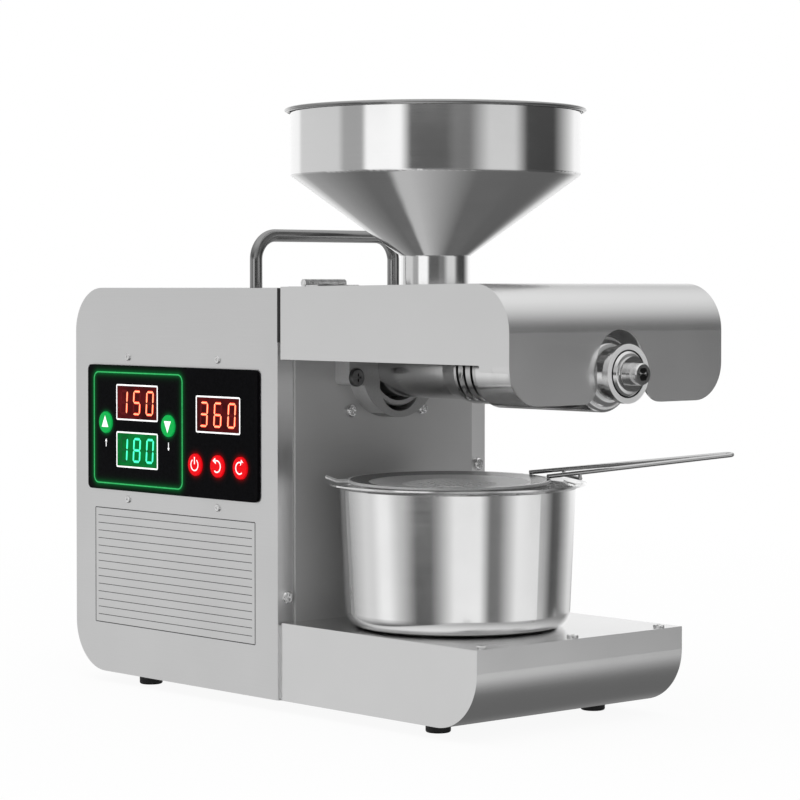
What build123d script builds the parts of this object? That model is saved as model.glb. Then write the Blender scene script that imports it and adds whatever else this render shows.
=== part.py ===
from build123d import *
import math
import os

# Screw oil press with a lift-off hopper, a hinged upper cover and a pot with a strainer.
# Millimetres. +X runs along the press towards its outlet, -Y is the control side, +Z is up.
# The origin lies on the underside of the bottom plate, on the centre plane, at the seam
# between the housing and the cover. The feet reach below it.

# Housing
HOUSING_WIDTH = 170.0
HOUSING_HEIGHT = 245.6
SHEET = 1.2
REAR_TOP_BEND = 28.0
REAR_FOOT_BEND = 31.0
FRONT_FLANGE = 10.7
VENT_LENGTH = 34.0
VENT_HEIGHT = 3.0
VENT_PITCH = 8.0
VENT_ROWS = 9
VENT_COLUMN_SHARE = 0.65
INLET_WIDTH = 27.0
INLET_HEIGHT = 20.0
INLET_DEPTH = 22.0
INLET_Y = 48.0
INLET_Z = 52.0
INLET_RIM = 2.0
INLET_EAR = 5.0
INLET_WELL = 15.0
INLET_PINS = ((-7.0, -2.0), (0.0, 3.0), (7.0, -2.0))

# Bulkhead, the pressed plate that closes the housing behind the press
BULKHEAD_SHEET = 2.0
BULKHEAD_STEP = 2.6
BULKHEAD_DRAFT = 0.8
EDGE_SCREW_IN = 6.7
EDGE_SCREW_LOW = 14.9
EDGE_SCREW_HIGH = 63.6
PAD_SCREW_Y = 29.0
PAD_SCREW_DROP = 26.8

# Base with its top plate
BASE_INSET = 1.7
BASE_HEIGHT = 46.3
BASE_BEND = 33.0
BASE_FRONT_ROOM = 23.5
BASE_SCREW_IN = 6.3
BASE_SCREW_SIDES = (11.0, 15.0)
BASE_SCREW_MIDDLE = -2.0
FOOT_RADIUS = 7.3
FOOT_HEIGHT = 7.0
FOOT_ROUND = 1.2
FRONT_FOOT_IN = (53.3, 22.0)
REAR_FOOT_IN = (57.5, 17.0)

# Carrying handle
HANDLE_ROD = 3.9
HANDLE_X = -55.3
HANDLE_HALF_SPAN = 56.5
HANDLE_RISE = 32.4
HANDLE_BEND = 15.0
HANDLE_STUB = 12.0
NUT_HEIGHT = 6.0
NUT_SHARE = 1.7

# Upper cover and its two butt hinges
COVER_REAR = 3.8
COVER_FRONT = 198.2
COVER_OVERLAP = 0.85
COVER_REAR_RISE = 0.8
COVER_FRONT_RISE = 3.0
COVER_SIDE_DROP = 42.3
COVER_STEP_LENGTH = 23.7
COVER_STEP_DROP = 46.1
COVER_STEP_ROUND = (2.0, 0.8)
COVER_NOSE_BEND = 27.0
COVER_SKIN_DROP = 64.6
COVER_SKIN_CORNER = 22.0
NOTCH_Y = 1.0
NOTCH_HALF_WIDTH = 18.7
NOTCH_ARCH_RISE = 6.0
NOTCH_FLARES = (11.0, 15.0)
HINGE_X = 2.3
HINGE_RISE = 3.0
HINGE_RADIUS = 2.4
HINGE_PIN = 1.2
HINGE_INNER_Y = 34.7
HINGE_LENGTH = 32.3
HINGE_LEAF = 13.5
HINGE_SHEET = 1.0
LEAF_GAP = 0.35
LEAF_LIFT = 0.15
KNUCKLES = 5
KNUCKLE_GAP = 0.15
GASKET_THICK = 2.6
GASKET_DEPTH = 6.0
GASKET_PROUD = 0.3
GASKET_DROP = 32.3

# Hopper
HOPPER_X = 45.9
HOPPER_SHEET = 1.0
SPOUT_RADIUS = 21.0
SPOUT_DROP = 11.8
CONE_RISE = 19.3
CONE_HEIGHT = 48.2
BOWL_RADIUS = 87.2
BOWL_HEIGHT = 38.9
RIM_BEAD = 3.4
RIM_ROLL_SHARE = 1.3
HOPPER_ROUNDS = (0.8, 2.5)
SPOUT_CLEARANCE = 1.2

# Press head and barrel, all turned about the press axis
PRESS_DROP = 47.8
HEAD_RADIUS = 31.0
HEAD_THICK = 13.0
EAR_HALF_SPAN = 41.0
EAR_HALF_HEIGHT = 10.8
EAR_CORNER = 3.0
EAR_SCREW_Y = 36.0
EAR_SCREW_DROP = 6.0
DRIP_DROP = 10.7
DRIP_RADIUS = 16.5
BARREL_RADIUS = 18.3
BARREL_BORE = 13.0
BARREL_SEAT = 2.0
TAPER_LENGTH = 12.0
CAGE_RADIUS = 20.5
CAGE_START = 84.0
CAGE_END = 104.5
SLOT_WIDTH = 2.0
SLOT_PITCH = 6.0
SLOT_COUNT = 3
SLOT_BRIDGE = 10.0
DRUM_RADIUS = 22.3
DRUM_SETBACK = 10.2
DRUM_ROUND = 2.5
COLLAR_RADIUS = 16.8
COLLAR_NECK = 15.2
COLLAR_STEP = 3.0
COLLAR_REACH = 7.3
COLLAR_LIP = 4.0
COLLAR_BORE = 13.6
NECK_RADIUS = 17.4
NECK_BORE = 11.5
NECK_ENGAGE = 4.2
NECK_SEAT = 3.0
SOCKET_RADIUS = 23.5
SOCKET_FLANGE = (9.0, 4.0)
HEATER_THICK = 4.0
HEATER_GAP = 6.0
HEATER_SPLIT = 3.0
HEATER_EAR = (2.0, 8.0)
PROBE_ROOM = 8.4
PROBE_RADIUS = 1.6
PROBE_LENGTH = 18.0
PROBE_NUT = (3.0, 6.0)

# Press worm
WORM_CLEARANCE = 0.35
WORM_PITCH = 18.0
WORM_START = 14.0
WORM_SETBACK = 4.0
WORM_FLANGE = (8.0, 4.0)
WORM_REAR_ROOT = 6.5
WORM_FRONT_ROOT = 10.0
WORM_FULL_ROOT = 40.0
WORM_LAND = 3.0
NOSE_RADIUS = 9.9
NOSE_PROUD = 4.0
BOSS_LENGTH = 7.5
BOSS_RADIUS = 6.5
BOSS_ROUND = 0.9
HEX_SOCKET = 7.0
SOCKET_DEPTH = 6.0
HEX_DRIVE = 12.0
HEX_DEPTH = 20.0
HEX_CLEARANCE = 0.1
HUB_RADIUS = 10.5
HUB_LENGTH = 12.0

# Two-stage spur gearbox and its motor, on one upright plane
SMALL_TEETH = 12
LARGE_TEETH = 60
FINAL_MODULE = 1.25
FIRST_MODULE = 1.0
GEAR_BACKLASH = 0.22
PRESSURE_ANGLE = math.radians(20)
FINAL_WIDTH = 13.0
FINAL_INSET = 9.0
FIRST_WIDTH = 10.0
FIRST_INSET = 15.0
PINION_OVERHANG = 1.0
GEARBOX_SETBACK = 34.0
GEARBOX_HALF = 28.0
GEARBOX_END_WALL = 5.0
GEARBOX_WALL = 3.5
GEAR_ROOM = 1.5
BOLT_BOSS = 6.0
BOLT_RADIUS = 2.5
BOLT_NUT = (4.6, 3.5)
BOLT_ANGLE = math.radians(45)
SHAFT_RADIUS = 8.5
LAY_SHAFT_RADIUS = 5.0
MOTOR_SHAFT_RADIUS = 5.0
SHAFT_INSET = 1.0
BEARING_WALL = 5.0
RUNNING_FIT = 0.05
MOTOR_RADIUS = 40.0
MOTOR_BORE = 26.0
MOTOR_REAR_ROOM = 33.5
MOTOR_AIR_GAP = 0.8
END_BELL = 6.0
STACK_GAP = 2.0
SADDLE_WIDTH = 62.0
SADDLE_INSET = 20.0
SADDLE_WEB = 4.0
SADDLE_FOOT = 3.0
SADDLE_TOP_DROP = 14.0
FAN_RADIUS = 32.0
FAN_BLADES = 7
FAN_DEPTH = 10.0
FAN_GAP = 2.0
FAN_HUB = 11.0
FAN_SHEET = 1.6
SHAFT_TAIL = 3.0

# Control panel, laid out rearwards from the seam; the housing is as long as it needs
PANEL_FRONT_MARGIN = 17.2
PANEL_FRONT_EDGE = 16.9
PANEL_GROUP_GAP = 21.4
PANEL_KEY_GAP = 4.75
PANEL_REAR_EDGE = 12.9
PANEL_REAR_MARGIN = 15.2
PANEL_DROP = 49.1
PANEL_HEIGHT = 79.6
PANEL_CORNER = 3.5
PANEL_THICK = 1.5
PANEL_WINDOW_MARGIN = 7.0
PANEL_SCREW_INS = (41.3, 40.2)
PANEL_SCREW_OUT = 5.3
DISPLAY_WIDTH = 42.6
DISPLAY_HEIGHT = 21.8
UPPER_DISPLAY_DROP = 23.4
LOWER_DISPLAY_DROP = 53.4
RIGHT_DISPLAY_DROP = 28.2
SIDE_KEY_DROP = 36.75
ROW_KEY_DROP = 59.5
ROW_KEY_PITCH = 22.1
KEY_RADIUS = 6.8
KEY_PROUD = 0.9
KEY_CLEARANCE = 0.3
KEY_LIFT = 0.2
KEY_STEM = 2.2
KEY_TRAVEL = 0.6
BOARD_DEPTH = 9.0
BOARD_THICK = 1.6
BOARD_EDGE = 6.0
BOARD_RIM = 5.0
BOARD_POST = 3.2
SWITCH_SIZE = 6.0
SWITCH_HEIGHT = 3.0

# Power board on its posts
POWER_REAR_ROOM = 35.5
POWER_LENGTH = 78.0
POWER_GAP = 3.0
POWER_SIDE_GAP = 3.8
POWER_POST = (2.5, 10.0)
POWER_EDGE = 4.0
HEAT_SINK = (30.0, 14.0, 24.4)
CAPACITOR = (10.0, 30.4)
RELAY = (20.0, 14.0, 15.4)

# Pot and strainer
POT_GAP = 3.2
POT_Y = -14.3
POT_SHEET = 1.0
POT_LIFT = 0.2
POT_BOTTOM_RADIUS = 66.0
POT_CORNER = 10.0
POT_DRAFT = 3.8
POT_LIP = 6.4
POT_HEADROOM = 66.6
POT_FLARE = 2.6
POT_LIP_ROUND = 0.9
STRAINER_OFFSET = 4.8
STRAINER_HEADING = 48.25
STRAINER_TILT = 1.0
STRAINER_LIFT = 1.8
STRAINER_RADIUS = 59.7
STRAINER_EDGE = 1.4
STRAINER_FLANGE = 3.0
STRAINER_SHEET = 0.9
STRAINER_KNEE = (46.5, 2.4)
STRAINER_DEPTH = 3.6
SEAT_GAP = 0.3
MESH_RADIUS = 28.0
MESH_HOLE = 1.5
MESH_PITCH = 6.2
MESH_RINGS = 4
REST_TAB_WIDTH = 12.0
REST_TAB_REACH = 13.2
REST_TAB_RISE = 2.6
REST_TAB_SHEET = 1.0
STRAINER_ROD = 1.3
ROD_TURN = 18.0
ROD_ROOT_SPREAD = 15.0
ROD_TIP_SPREAD = 4.0
ROD_REACH = 181.8
ROD_RISE = 9.0
ROD_BEND = 3.5
REST_BAR_RADIUS = 1.1
REST_BAR_DROP = 1.65

# Screw heads, each a radius and a height
PAN_HEAD = (3.9, 2.6)
EAR_HEAD = (5.5, 2.4)
PANEL_HEAD = (2.3, 1.0)
BASE_HEAD = (3.4, 1.6)
SHANK_SHARE = 0.5
SHANK_LENGTH = 6.0
HEAD_ROUND = 0.45
RECESS_ARM = 0.9
RECESS_SLOT = 0.22
RECESS_DEPTH = 0.8

# How far a cutting shape runs past the piece it cuts
OVERCUT = 1.0

# Sheet bodies worked out from the sizes above
half_width = HOUSING_WIDTH / 2
inner_half = half_width - SHEET
base_half = half_width - BASE_INSET
base_inner = base_half - SHEET
pad_front = BULKHEAD_STEP - SHEET
head_front = pad_front + HEAD_THICK
press_z = HOUSING_HEIGHT - PRESS_DROP
cover_half = half_width + COVER_OVERLAP
cover_rear_top = HOUSING_HEIGHT + COVER_REAR_RISE
cover_front_top = HOUSING_HEIGHT + COVER_FRONT_RISE
cover_side_bottom = HOUSING_HEIGHT - COVER_SIDE_DROP
cover_step_bottom = HOUSING_HEIGHT - COVER_STEP_DROP
cover_step_x = COVER_FRONT - COVER_STEP_LENGTH
cover_skin_bottom = HOUSING_HEIGHT - COVER_SKIN_DROP
notch_arch_z = press_z + NOTCH_ARCH_RISE
hinge_z = HOUSING_HEIGHT + HINGE_RISE
handle_z = HOUSING_HEIGHT + HANDLE_RISE
spout_bottom = HOUSING_HEIGHT - SPOUT_DROP
neck_top = spout_bottom + NECK_ENGAGE
cone_bottom = HOUSING_HEIGHT + CONE_RISE
cone_top = cone_bottom + CONE_HEIGHT
bowl_top = cone_top + BOWL_HEIGHT

# Control panel places, rearwards from the seam and down from the housing's top
panel_front = -PANEL_FRONT_MARGIN
right_display_x = panel_front - PANEL_FRONT_EDGE - DISPLAY_WIDTH / 2
key_down_x = right_display_x - DISPLAY_WIDTH / 2 - PANEL_GROUP_GAP - KEY_RADIUS
left_display_x = key_down_x - KEY_RADIUS - PANEL_KEY_GAP - DISPLAY_WIDTH / 2
key_up_x = left_display_x - DISPLAY_WIDTH / 2 - PANEL_KEY_GAP - KEY_RADIUS
panel_rear = key_up_x - KEY_RADIUS - PANEL_REAR_EDGE
housing_length = PANEL_REAR_MARGIN - panel_rear
panel_top = HOUSING_HEIGHT - PANEL_DROP
panel_bottom = panel_top - PANEL_HEIGHT
side_key_z = panel_top - SIDE_KEY_DROP
row_key_z = panel_top - ROW_KEY_DROP
display_centres = (
    (left_display_x, panel_top - UPPER_DISPLAY_DROP),
    (left_display_x, panel_top - LOWER_DISPLAY_DROP),
    (right_display_x, panel_top - RIGHT_DISPLAY_DROP),
)
key_places = {
    "key_up": (key_up_x, side_key_z),
    "key_down": (key_down_x, side_key_z),
    "key_power": (right_display_x - ROW_KEY_PITCH, row_key_z),
    "key_press": (right_display_x, row_key_z),
    "key_clear": (right_display_x + ROW_KEY_PITCH, row_key_z),
}
fascia_front = -half_width - PANEL_THICK
panel_screw_xs = (panel_rear + PANEL_SCREW_INS[0], panel_front - PANEL_SCREW_INS[1])
panel_screw_zs = (panel_bottom - PANEL_SCREW_OUT, panel_top + PANEL_SCREW_OUT)
board_y = -half_width + BOARD_DEPTH

# Press places
socket_front = pad_front - BULKHEAD_SHEET
drum_end = COVER_FRONT - DRUM_SETBACK
collar_end = COVER_FRONT + COLLAR_REACH
worm_end = drum_end - WORM_SETBACK
nose_shoulder = collar_end + NOSE_PROUD
nose_tip = nose_shoulder + BOSS_LENGTH
slot_xs = [CAGE_START + SLOT_PITCH * (index + 0.5) for index in range(SLOT_COUNT)]
ear_screw_z = press_z - EAR_SCREW_DROP

# Gearbox and motor places
gearbox_front = -GEARBOX_SETBACK
gearbox_split = gearbox_front - GEARBOX_HALF
gearbox_rear = gearbox_split - GEARBOX_HALF
front_bearing = (gearbox_front - GEARBOX_END_WALL, gearbox_front)
rear_bearing = (gearbox_rear, gearbox_rear + GEARBOX_END_WALL)
final_gear = (gearbox_front - FINAL_INSET - FINAL_WIDTH, gearbox_front - FINAL_INSET)
first_gear_span = (gearbox_rear + FIRST_INSET, gearbox_rear + FIRST_INSET + FIRST_WIDTH)
hub_end = gearbox_front + HUB_LENGTH
heater_span = (gearbox_front + HEATER_GAP, socket_front - PROBE_ROOM)
motor_front = gearbox_rear
motor_rear = MOTOR_REAR_ROOM - housing_length
final_distance = FINAL_MODULE * (SMALL_TEETH + LARGE_TEETH) / 2
first_distance = FIRST_MODULE * (SMALL_TEETH + LARGE_TEETH) / 2
lay_z = press_z - final_distance
motor_z = lay_z - first_distance
shaft_holes_front = ((press_z, SHAFT_RADIUS + BEARING_WALL), (lay_z, LAY_SHAFT_RADIUS + BEARING_WALL))
shaft_holes_rear = shaft_holes_front + ((motor_z, MOTOR_SHAFT_RADIUS + SHAFT_INSET),)

# The case is a hull of two circles, as wide at the layshaft as its large gear needs
case_top_radius = FINAL_MODULE * (LARGE_TEETH / 2 + 1) + GEAR_ROOM + GEARBOX_WALL
lay_room = FIRST_MODULE * (LARGE_TEETH / 2 + 1) + GEAR_ROOM + GEARBOX_WALL
lay_share = final_distance / (final_distance + first_distance)
case_low_radius = (lay_room - case_top_radius * (1 - lay_share)) / lay_share
bolt_places = []
for centre, radius, up in ((press_z, case_top_radius, 1), (motor_z, case_low_radius, -1)):
    for side in (-1, 1):
        away = radius + BOLT_BOSS / 2
        bolt_places.append((side * away * math.sin(BOLT_ANGLE), centre + up * away * math.cos(BOLT_ANGLE)))

# Pot and strainer places; the base is as long as the pot needs
pot_top_radius = POT_BOTTOM_RADIUS + POT_DRAFT
pot_rim_radius = pot_top_radius + POT_LIP
pot_x = pad_front + POT_GAP + pot_rim_radius
pot_floor = BASE_HEIGHT + POT_LIFT
pot_rim_z = press_z - POT_HEADROOM
base_length = pot_x + POT_BOTTOM_RADIUS + BASE_FRONT_ROOM
heading = math.radians(STRAINER_HEADING)
strainer_x = pot_x - STRAINER_OFFSET * math.cos(heading)
strainer_y = POT_Y - STRAINER_OFFSET * math.sin(heading)
strainer_z = pot_rim_z + STRAINER_LIFT

# Places of screws, feet, inlet and power board
bottom_start = REAR_FOOT_BEND - housing_length
edge_screw_y = half_width - EDGE_SCREW_IN
bulkhead_screw_places = (
    (-edge_screw_y, BASE_HEIGHT + EDGE_SCREW_LOW),
    (edge_screw_y, press_z - EDGE_SCREW_HIGH),
)
head_screw_places = ((-PAD_SCREW_Y, press_z - PAD_SCREW_DROP), (PAD_SCREW_Y, press_z - PAD_SCREW_DROP))
base_screw_x = base_length - BASE_SCREW_IN
base_screw_ys = (BASE_SCREW_SIDES[0] - half_width, BASE_SCREW_MIDDLE, half_width - BASE_SCREW_SIDES[1])
foot_places = (
    (base_length - FRONT_FOOT_IN[0], half_width - FRONT_FOOT_IN[1]),
    (REAR_FOOT_IN[0] - housing_length, half_width - REAR_FOOT_IN[1]),
)
inlet_ys = (INLET_Y - INLET_WIDTH / 2, INLET_Y + INLET_WIDTH / 2)
inlet_zs = (INLET_Z - INLET_HEIGHT / 2, INLET_Z + INLET_HEIGHT / 2)
power_xs = (POWER_REAR_ROOM - housing_length, POWER_REAR_ROOM - housing_length + POWER_LENGTH)
power_ys = (SADDLE_WIDTH / 2 + POWER_GAP, inner_half - POWER_SIDE_GAP)


# Building helpers
def block(xs, ys, zs):
    """A box from its low and high values along each axis."""
    size = (xs[1] - xs[0], ys[1] - ys[0], zs[1] - zs[0])
    return Pos(sum(xs) / 2, sum(ys) / 2, sum(zs) / 2) * Box(*size)


def rod(axis, span, centre, radius):
    """A round bar along X, Y or Z; centre gives the other two coordinates in order."""
    middle = (span[0] + span[1]) / 2
    length = span[1] - span[0]
    if axis == "x":
        return Pos(middle, *centre) * Rot(0, 90, 0) * Cylinder(radius, length)
    if axis == "y":
        return Pos(centre[0], middle, centre[1]) * Rot(90, 0, 0) * Cylinder(radius, length)
    return Pos(*centre, middle) * Cylinder(radius, length)


def outline(corners):
    """A flat face from (u, v, radius) corners; a radius of 0 leaves the corner sharp."""
    face = Sketch() + make_face(Polyline(*[(u, v) for u, v, r in corners], close=True))
    for u, v, r in corners:
        if r > 0:
            face = fillet(face.vertices().sort_by_distance((u, v, 0))[0], r)
    return face


def rounded(us, vs, radius):
    """A rectangle with round corners from its low and high values."""
    low_edge = [(us[0], vs[0], radius), (us[1], vs[0], radius)]
    high_edge = [(us[1], vs[1], radius), (us[0], vs[1], radius)]
    return outline(low_edge + high_edge)


def slab_x(face, span):
    """A face drawn in (y, z), made solid from span[0] to span[1] along X."""
    return extrude(Plane.YZ.offset(span[0]) * face, span[1] - span[0])


def slab_y(face, span):
    """A face drawn in (x, z), made solid from span[0] to span[1] along Y."""
    return extrude(Plane.XZ.offset(-span[1]) * face, span[1] - span[0])


def slab_z(face, span):
    """A face drawn in (x, y), made solid from span[0] to span[1] along Z."""
    return extrude(Plane.XY.offset(span[0]) * face, span[1] - span[0])


def turned_x(profile, z):
    """A profile of (x, radius) points turned about the X direction at height z."""
    return Pos(0, 0, z) * revolve(make_face(Polyline(*profile, close=True)), Axis.X)


def turned_z(face, x, y):
    """A face drawn in (radius, z), turned about an upright axis at x, y."""
    return Pos(x, y, 0) * revolve(Plane.XZ * face, Axis.Z)


def tube_x(span, z, outer, inner):
    """A straight tube along X."""
    return turned_x([(span[0], inner), (span[1], inner), (span[1], outer), (span[0], outer)], z)


def around(middle, size):
    """The low and high value of a length about its middle."""
    return (middle - size / 2, middle + size / 2)


def grown(span, amount):
    """A span made longer at both ends."""
    return (span[0] - amount, span[1] + amount)


def screw(head, place, direction, shank):
    """A pan-head screw with a cross recess, whose head seats at place and faces direction."""
    radius, height = head
    body = Cylinder(radius, height, align=(Align.CENTER, Align.CENTER, Align.MIN))
    body = fillet(body.edges().sort_by(Axis.Z)[-1], min(height, radius) * HEAD_ROUND)
    arm = radius * RECESS_ARM
    slot = radius * RECESS_SLOT
    depth = height * RECESS_DEPTH
    body = body - Pos(0, 0, height) * (Box(arm, slot, depth) + Box(slot, arm, depth))
    body = body + Pos(0, 0, -shank / 2) * Cylinder(radius * SHANK_SHARE, shank)
    return Plane(origin=place, z_dir=direction) * body


# Housing
def side_outline(inset):
    """The housing's side view, with both rear corners bent."""
    return outline([
        (-housing_length + inset, inset, REAR_FOOT_BEND - inset),
        (0, inset, 0),
        (0, HOUSING_HEIGHT - inset, 0),
        (-housing_length + inset, HOUSING_HEIGHT - inset, REAR_TOP_BEND - inset),
    ])


def side_panel(side):
    """One side sheet with its front edge folded inwards."""
    ys = sorted((side * inner_half, side * half_width))
    panel = slab_y(side_outline(0), ys)
    fold = sorted((side * inner_half, side * (inner_half - FRONT_FLANGE)))
    panel += block((-SHEET, 0), fold, (SHEET, HOUSING_HEIGHT - SHEET))
    for y, z in bulkhead_screw_places:
        if y * side > 0:
            panel -= rod("x", grown((-SHEET, 0), OVERCUT), (y, z), PAN_HEAD[0] * SHANK_SHARE)
    return panel


def control_side_panel():
    panel = side_panel(-1)
    window_x = grown((panel_rear, panel_front), -PANEL_WINDOW_MARGIN)
    window_z = grown((panel_bottom, panel_top), -PANEL_WINDOW_MARGIN)
    through = grown((-half_width, -inner_half), OVERCUT)
    panel -= slab_y(rounded(window_x, window_z, PANEL_CORNER), through)
    for x in panel_screw_xs:
        for z in panel_screw_zs:
            panel -= rod("y", through, (x, z), PANEL_HEAD[0] * SHANK_SHARE)
    return panel


def housing_wrap():
    """Top, rear and rear foot bend in one sheet between the side panels."""
    span = (-inner_half, inner_half)
    wrap = slab_y(side_outline(0), span) - slab_y(side_outline(SHEET), span)
    wrap -= block((bottom_start, OVERCUT), (-half_width, half_width), (-OVERCUT, SHEET))
    fold = inner_half - FRONT_FLANGE
    wrap += block((-SHEET, 0), (-fold, fold), (HOUSING_HEIGHT - GASKET_DEPTH, HOUSING_HEIGHT - SHEET))
    rear = grown((-housing_length, SHEET - housing_length), OVERCUT)
    first = HOUSING_HEIGHT / 2 - VENT_PITCH * (VENT_ROWS - 1) / 2
    column = VENT_LENGTH * VENT_COLUMN_SHARE
    for row in range(VENT_ROWS):
        slot_zs = around(first + row * VENT_PITCH, VENT_HEIGHT)
        for y in (-column, column):
            wrap -= block(rear, around(y, VENT_LENGTH), slot_zs)
    wrap -= block(rear, inlet_ys, inlet_zs)
    top = grown((HOUSING_HEIGHT - SHEET, HOUSING_HEIGHT), OVERCUT)
    for y in (-HANDLE_HALF_SPAN, HANDLE_HALF_SPAN):
        wrap -= rod("z", top, (HANDLE_X, y), HANDLE_ROD)
    return wrap


def bottom_plate():
    """One plate under the housing and the base, which carries motor, boards and feet."""
    rear = block((bottom_start, 0), (-inner_half, inner_half), (0, SHEET))
    front = block((0, base_length - BASE_BEND), (-base_inner, base_inner), (0, SHEET))
    return rear + front


def bulkhead():
    """Pressed plate: its middle stands proud of the folded side edges."""
    edge = inner_half - FRONT_FLANGE
    pad = edge - BULKHEAD_DRAFT
    front_line = [
        (-SHEET, -inner_half), (-SHEET, -edge), (pad_front, -pad),
        (pad_front, pad), (-SHEET, edge), (-SHEET, inner_half),
    ]
    back_line = [(x - BULKHEAD_SHEET, y) for x, y in reversed(front_line)]
    plate_zs = (SHEET, HOUSING_HEIGHT - GASKET_DEPTH)
    plate = slab_z(make_face(Polyline(*front_line, *back_line, close=True)), plate_zs)
    through = grown((-SHEET - BULKHEAD_SHEET, pad_front), OVERCUT)
    plate -= rod("x", through, (0, press_z), BARREL_RADIUS)
    plate -= rod("x", through, (0, press_z - DRIP_DROP), DRIP_RADIUS)
    for y, z in bulkhead_screw_places + head_screw_places:
        plate -= rod("x", through, (y, z), PAN_HEAD[0] * SHANK_SHARE)
    for y in (-EAR_SCREW_Y, EAR_SCREW_Y):
        plate -= rod("x", through, (y, ear_screw_z), EAR_HEAD[0] * SHANK_SHARE)
    return plate


def seam_gasket():
    """Rubber strip round the seam, in the gap between the housing and the cover."""
    outer_y = half_width + GASKET_PROUD
    inner_y = half_width - GASKET_DEPTH
    outer = block((0, GASKET_THICK), (-outer_y, outer_y), (HOUSING_HEIGHT - GASKET_DROP, HOUSING_HEIGHT))
    through = grown((0, GASKET_THICK), OVERCUT)
    return outer - block(through, (-inner_y, inner_y), (0, HOUSING_HEIGHT - GASKET_DEPTH))


# Base
def base_outline(inset):
    """The base's side view, with its front foot bent under."""
    return outline([
        (0, inset, 0),
        (base_length - inset, inset, BASE_BEND - inset),
        (base_length - inset, BASE_HEIGHT - SHEET, 0),
        (0, BASE_HEIGHT - SHEET, 0),
    ])


def base_shell():
    """Both sides and the front skin, welded along their edges."""
    inner = (-base_inner, base_inner)
    shell = slab_y(base_outline(0), (-base_half, base_half)) - slab_y(base_outline(SHEET), inner)
    return shell - block((-OVERCUT, base_length - BASE_BEND), inner, (-OVERCUT, SHEET))


def base_top_plate():
    plate_zs = (BASE_HEIGHT - SHEET, BASE_HEIGHT)
    plate = block((pad_front, base_length), (-base_half, base_half), plate_zs)
    for y in base_screw_ys:
        plate -= rod("z", grown(plate_zs, OVERCUT), (base_screw_x, y), BASE_HEAD[0] * SHANK_SHARE)
    return plate


def feet():
    parts = Part()
    for x, y in foot_places:
        for side in (-1, 1):
            foot = rod("z", (-FOOT_HEIGHT, 0), (x, side * y), FOOT_RADIUS)
            parts += fillet(foot.edges().sort_by(Axis.Z)[0], FOOT_ROUND)
    return parts


# Handle
def carry_handle():
    """A round bar bent twice, whose legs pass through the top sheet."""
    foot = HOUSING_HEIGHT - HANDLE_STUB
    near = -HANDLE_HALF_SPAN
    far = HANDLE_HALF_SPAN
    corners = [(near, foot), (near, handle_z), (far, handle_z), (far, foot)]
    route = [(HANDLE_X, y, z) for y, z in corners]
    path = FilletPolyline(*route, radius=HANDLE_BEND)
    return sweep(Plane(origin=route[0], z_dir=(0, 0, 1)) * Circle(HANDLE_ROD), path)


def handle_nuts():
    nuts = Part()
    span = (HOUSING_HEIGHT - SHEET - NUT_HEIGHT, HOUSING_HEIGHT - SHEET)
    for y in (-HANDLE_HALF_SPAN, HANDLE_HALF_SPAN):
        nut = slab_z(Pos(HANDLE_X, y) * RegularPolygon(HANDLE_ROD * NUT_SHARE, 6), span)
        nuts += nut - rod("z", grown(span, OVERCUT), (HANDLE_X, y), HANDLE_ROD)
    return nuts


# Hinges
def knuckle_spans(side):
    """Y spans of one hinge's knuckles, counted outwards."""
    width = HINGE_LENGTH / KNUCKLES
    spans = []
    for index in range(KNUCKLES):
        low = HINGE_INNER_Y + index * width + KNUCKLE_GAP / 2
        spans.append(sorted((side * low, side * (low + width - KNUCKLE_GAP))))
    return spans


def hinge_half(direction, bottom, first, bore):
    """Leaves and knuckles on one side of both hinges; direction is -1 for the housing."""
    parts = Part()
    reach = HINGE_RADIUS + LEAF_GAP
    leaf_zs = (bottom, bottom + HINGE_SHEET)
    for side in (-1, 1):
        ys = sorted((side * HINGE_INNER_Y, side * (HINGE_INNER_Y + HINGE_LENGTH)))
        half = block(sorted((HINGE_X + direction * reach, HINGE_X + direction * HINGE_LEAF)), ys, leaf_zs)
        tab = sorted((HINGE_X, HINGE_X + direction * (reach + HINGE_SHEET)))
        for span in knuckle_spans(side)[first::2]:
            half += block(tab, span, leaf_zs)
            half += rod("y", span, (HINGE_X, hinge_z), HINGE_RADIUS)
        parts += half - rod("y", ys, (HINGE_X, hinge_z), bore)
    return parts


def hinge_pins():
    parts = Part()
    for side in (-1, 1):
        ys = sorted((side * HINGE_INNER_Y, side * (HINGE_INNER_Y + HINGE_LENGTH)))
        parts += rod("y", ys, (HINGE_X, hinge_z), HINGE_PIN)
    return parts


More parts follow.
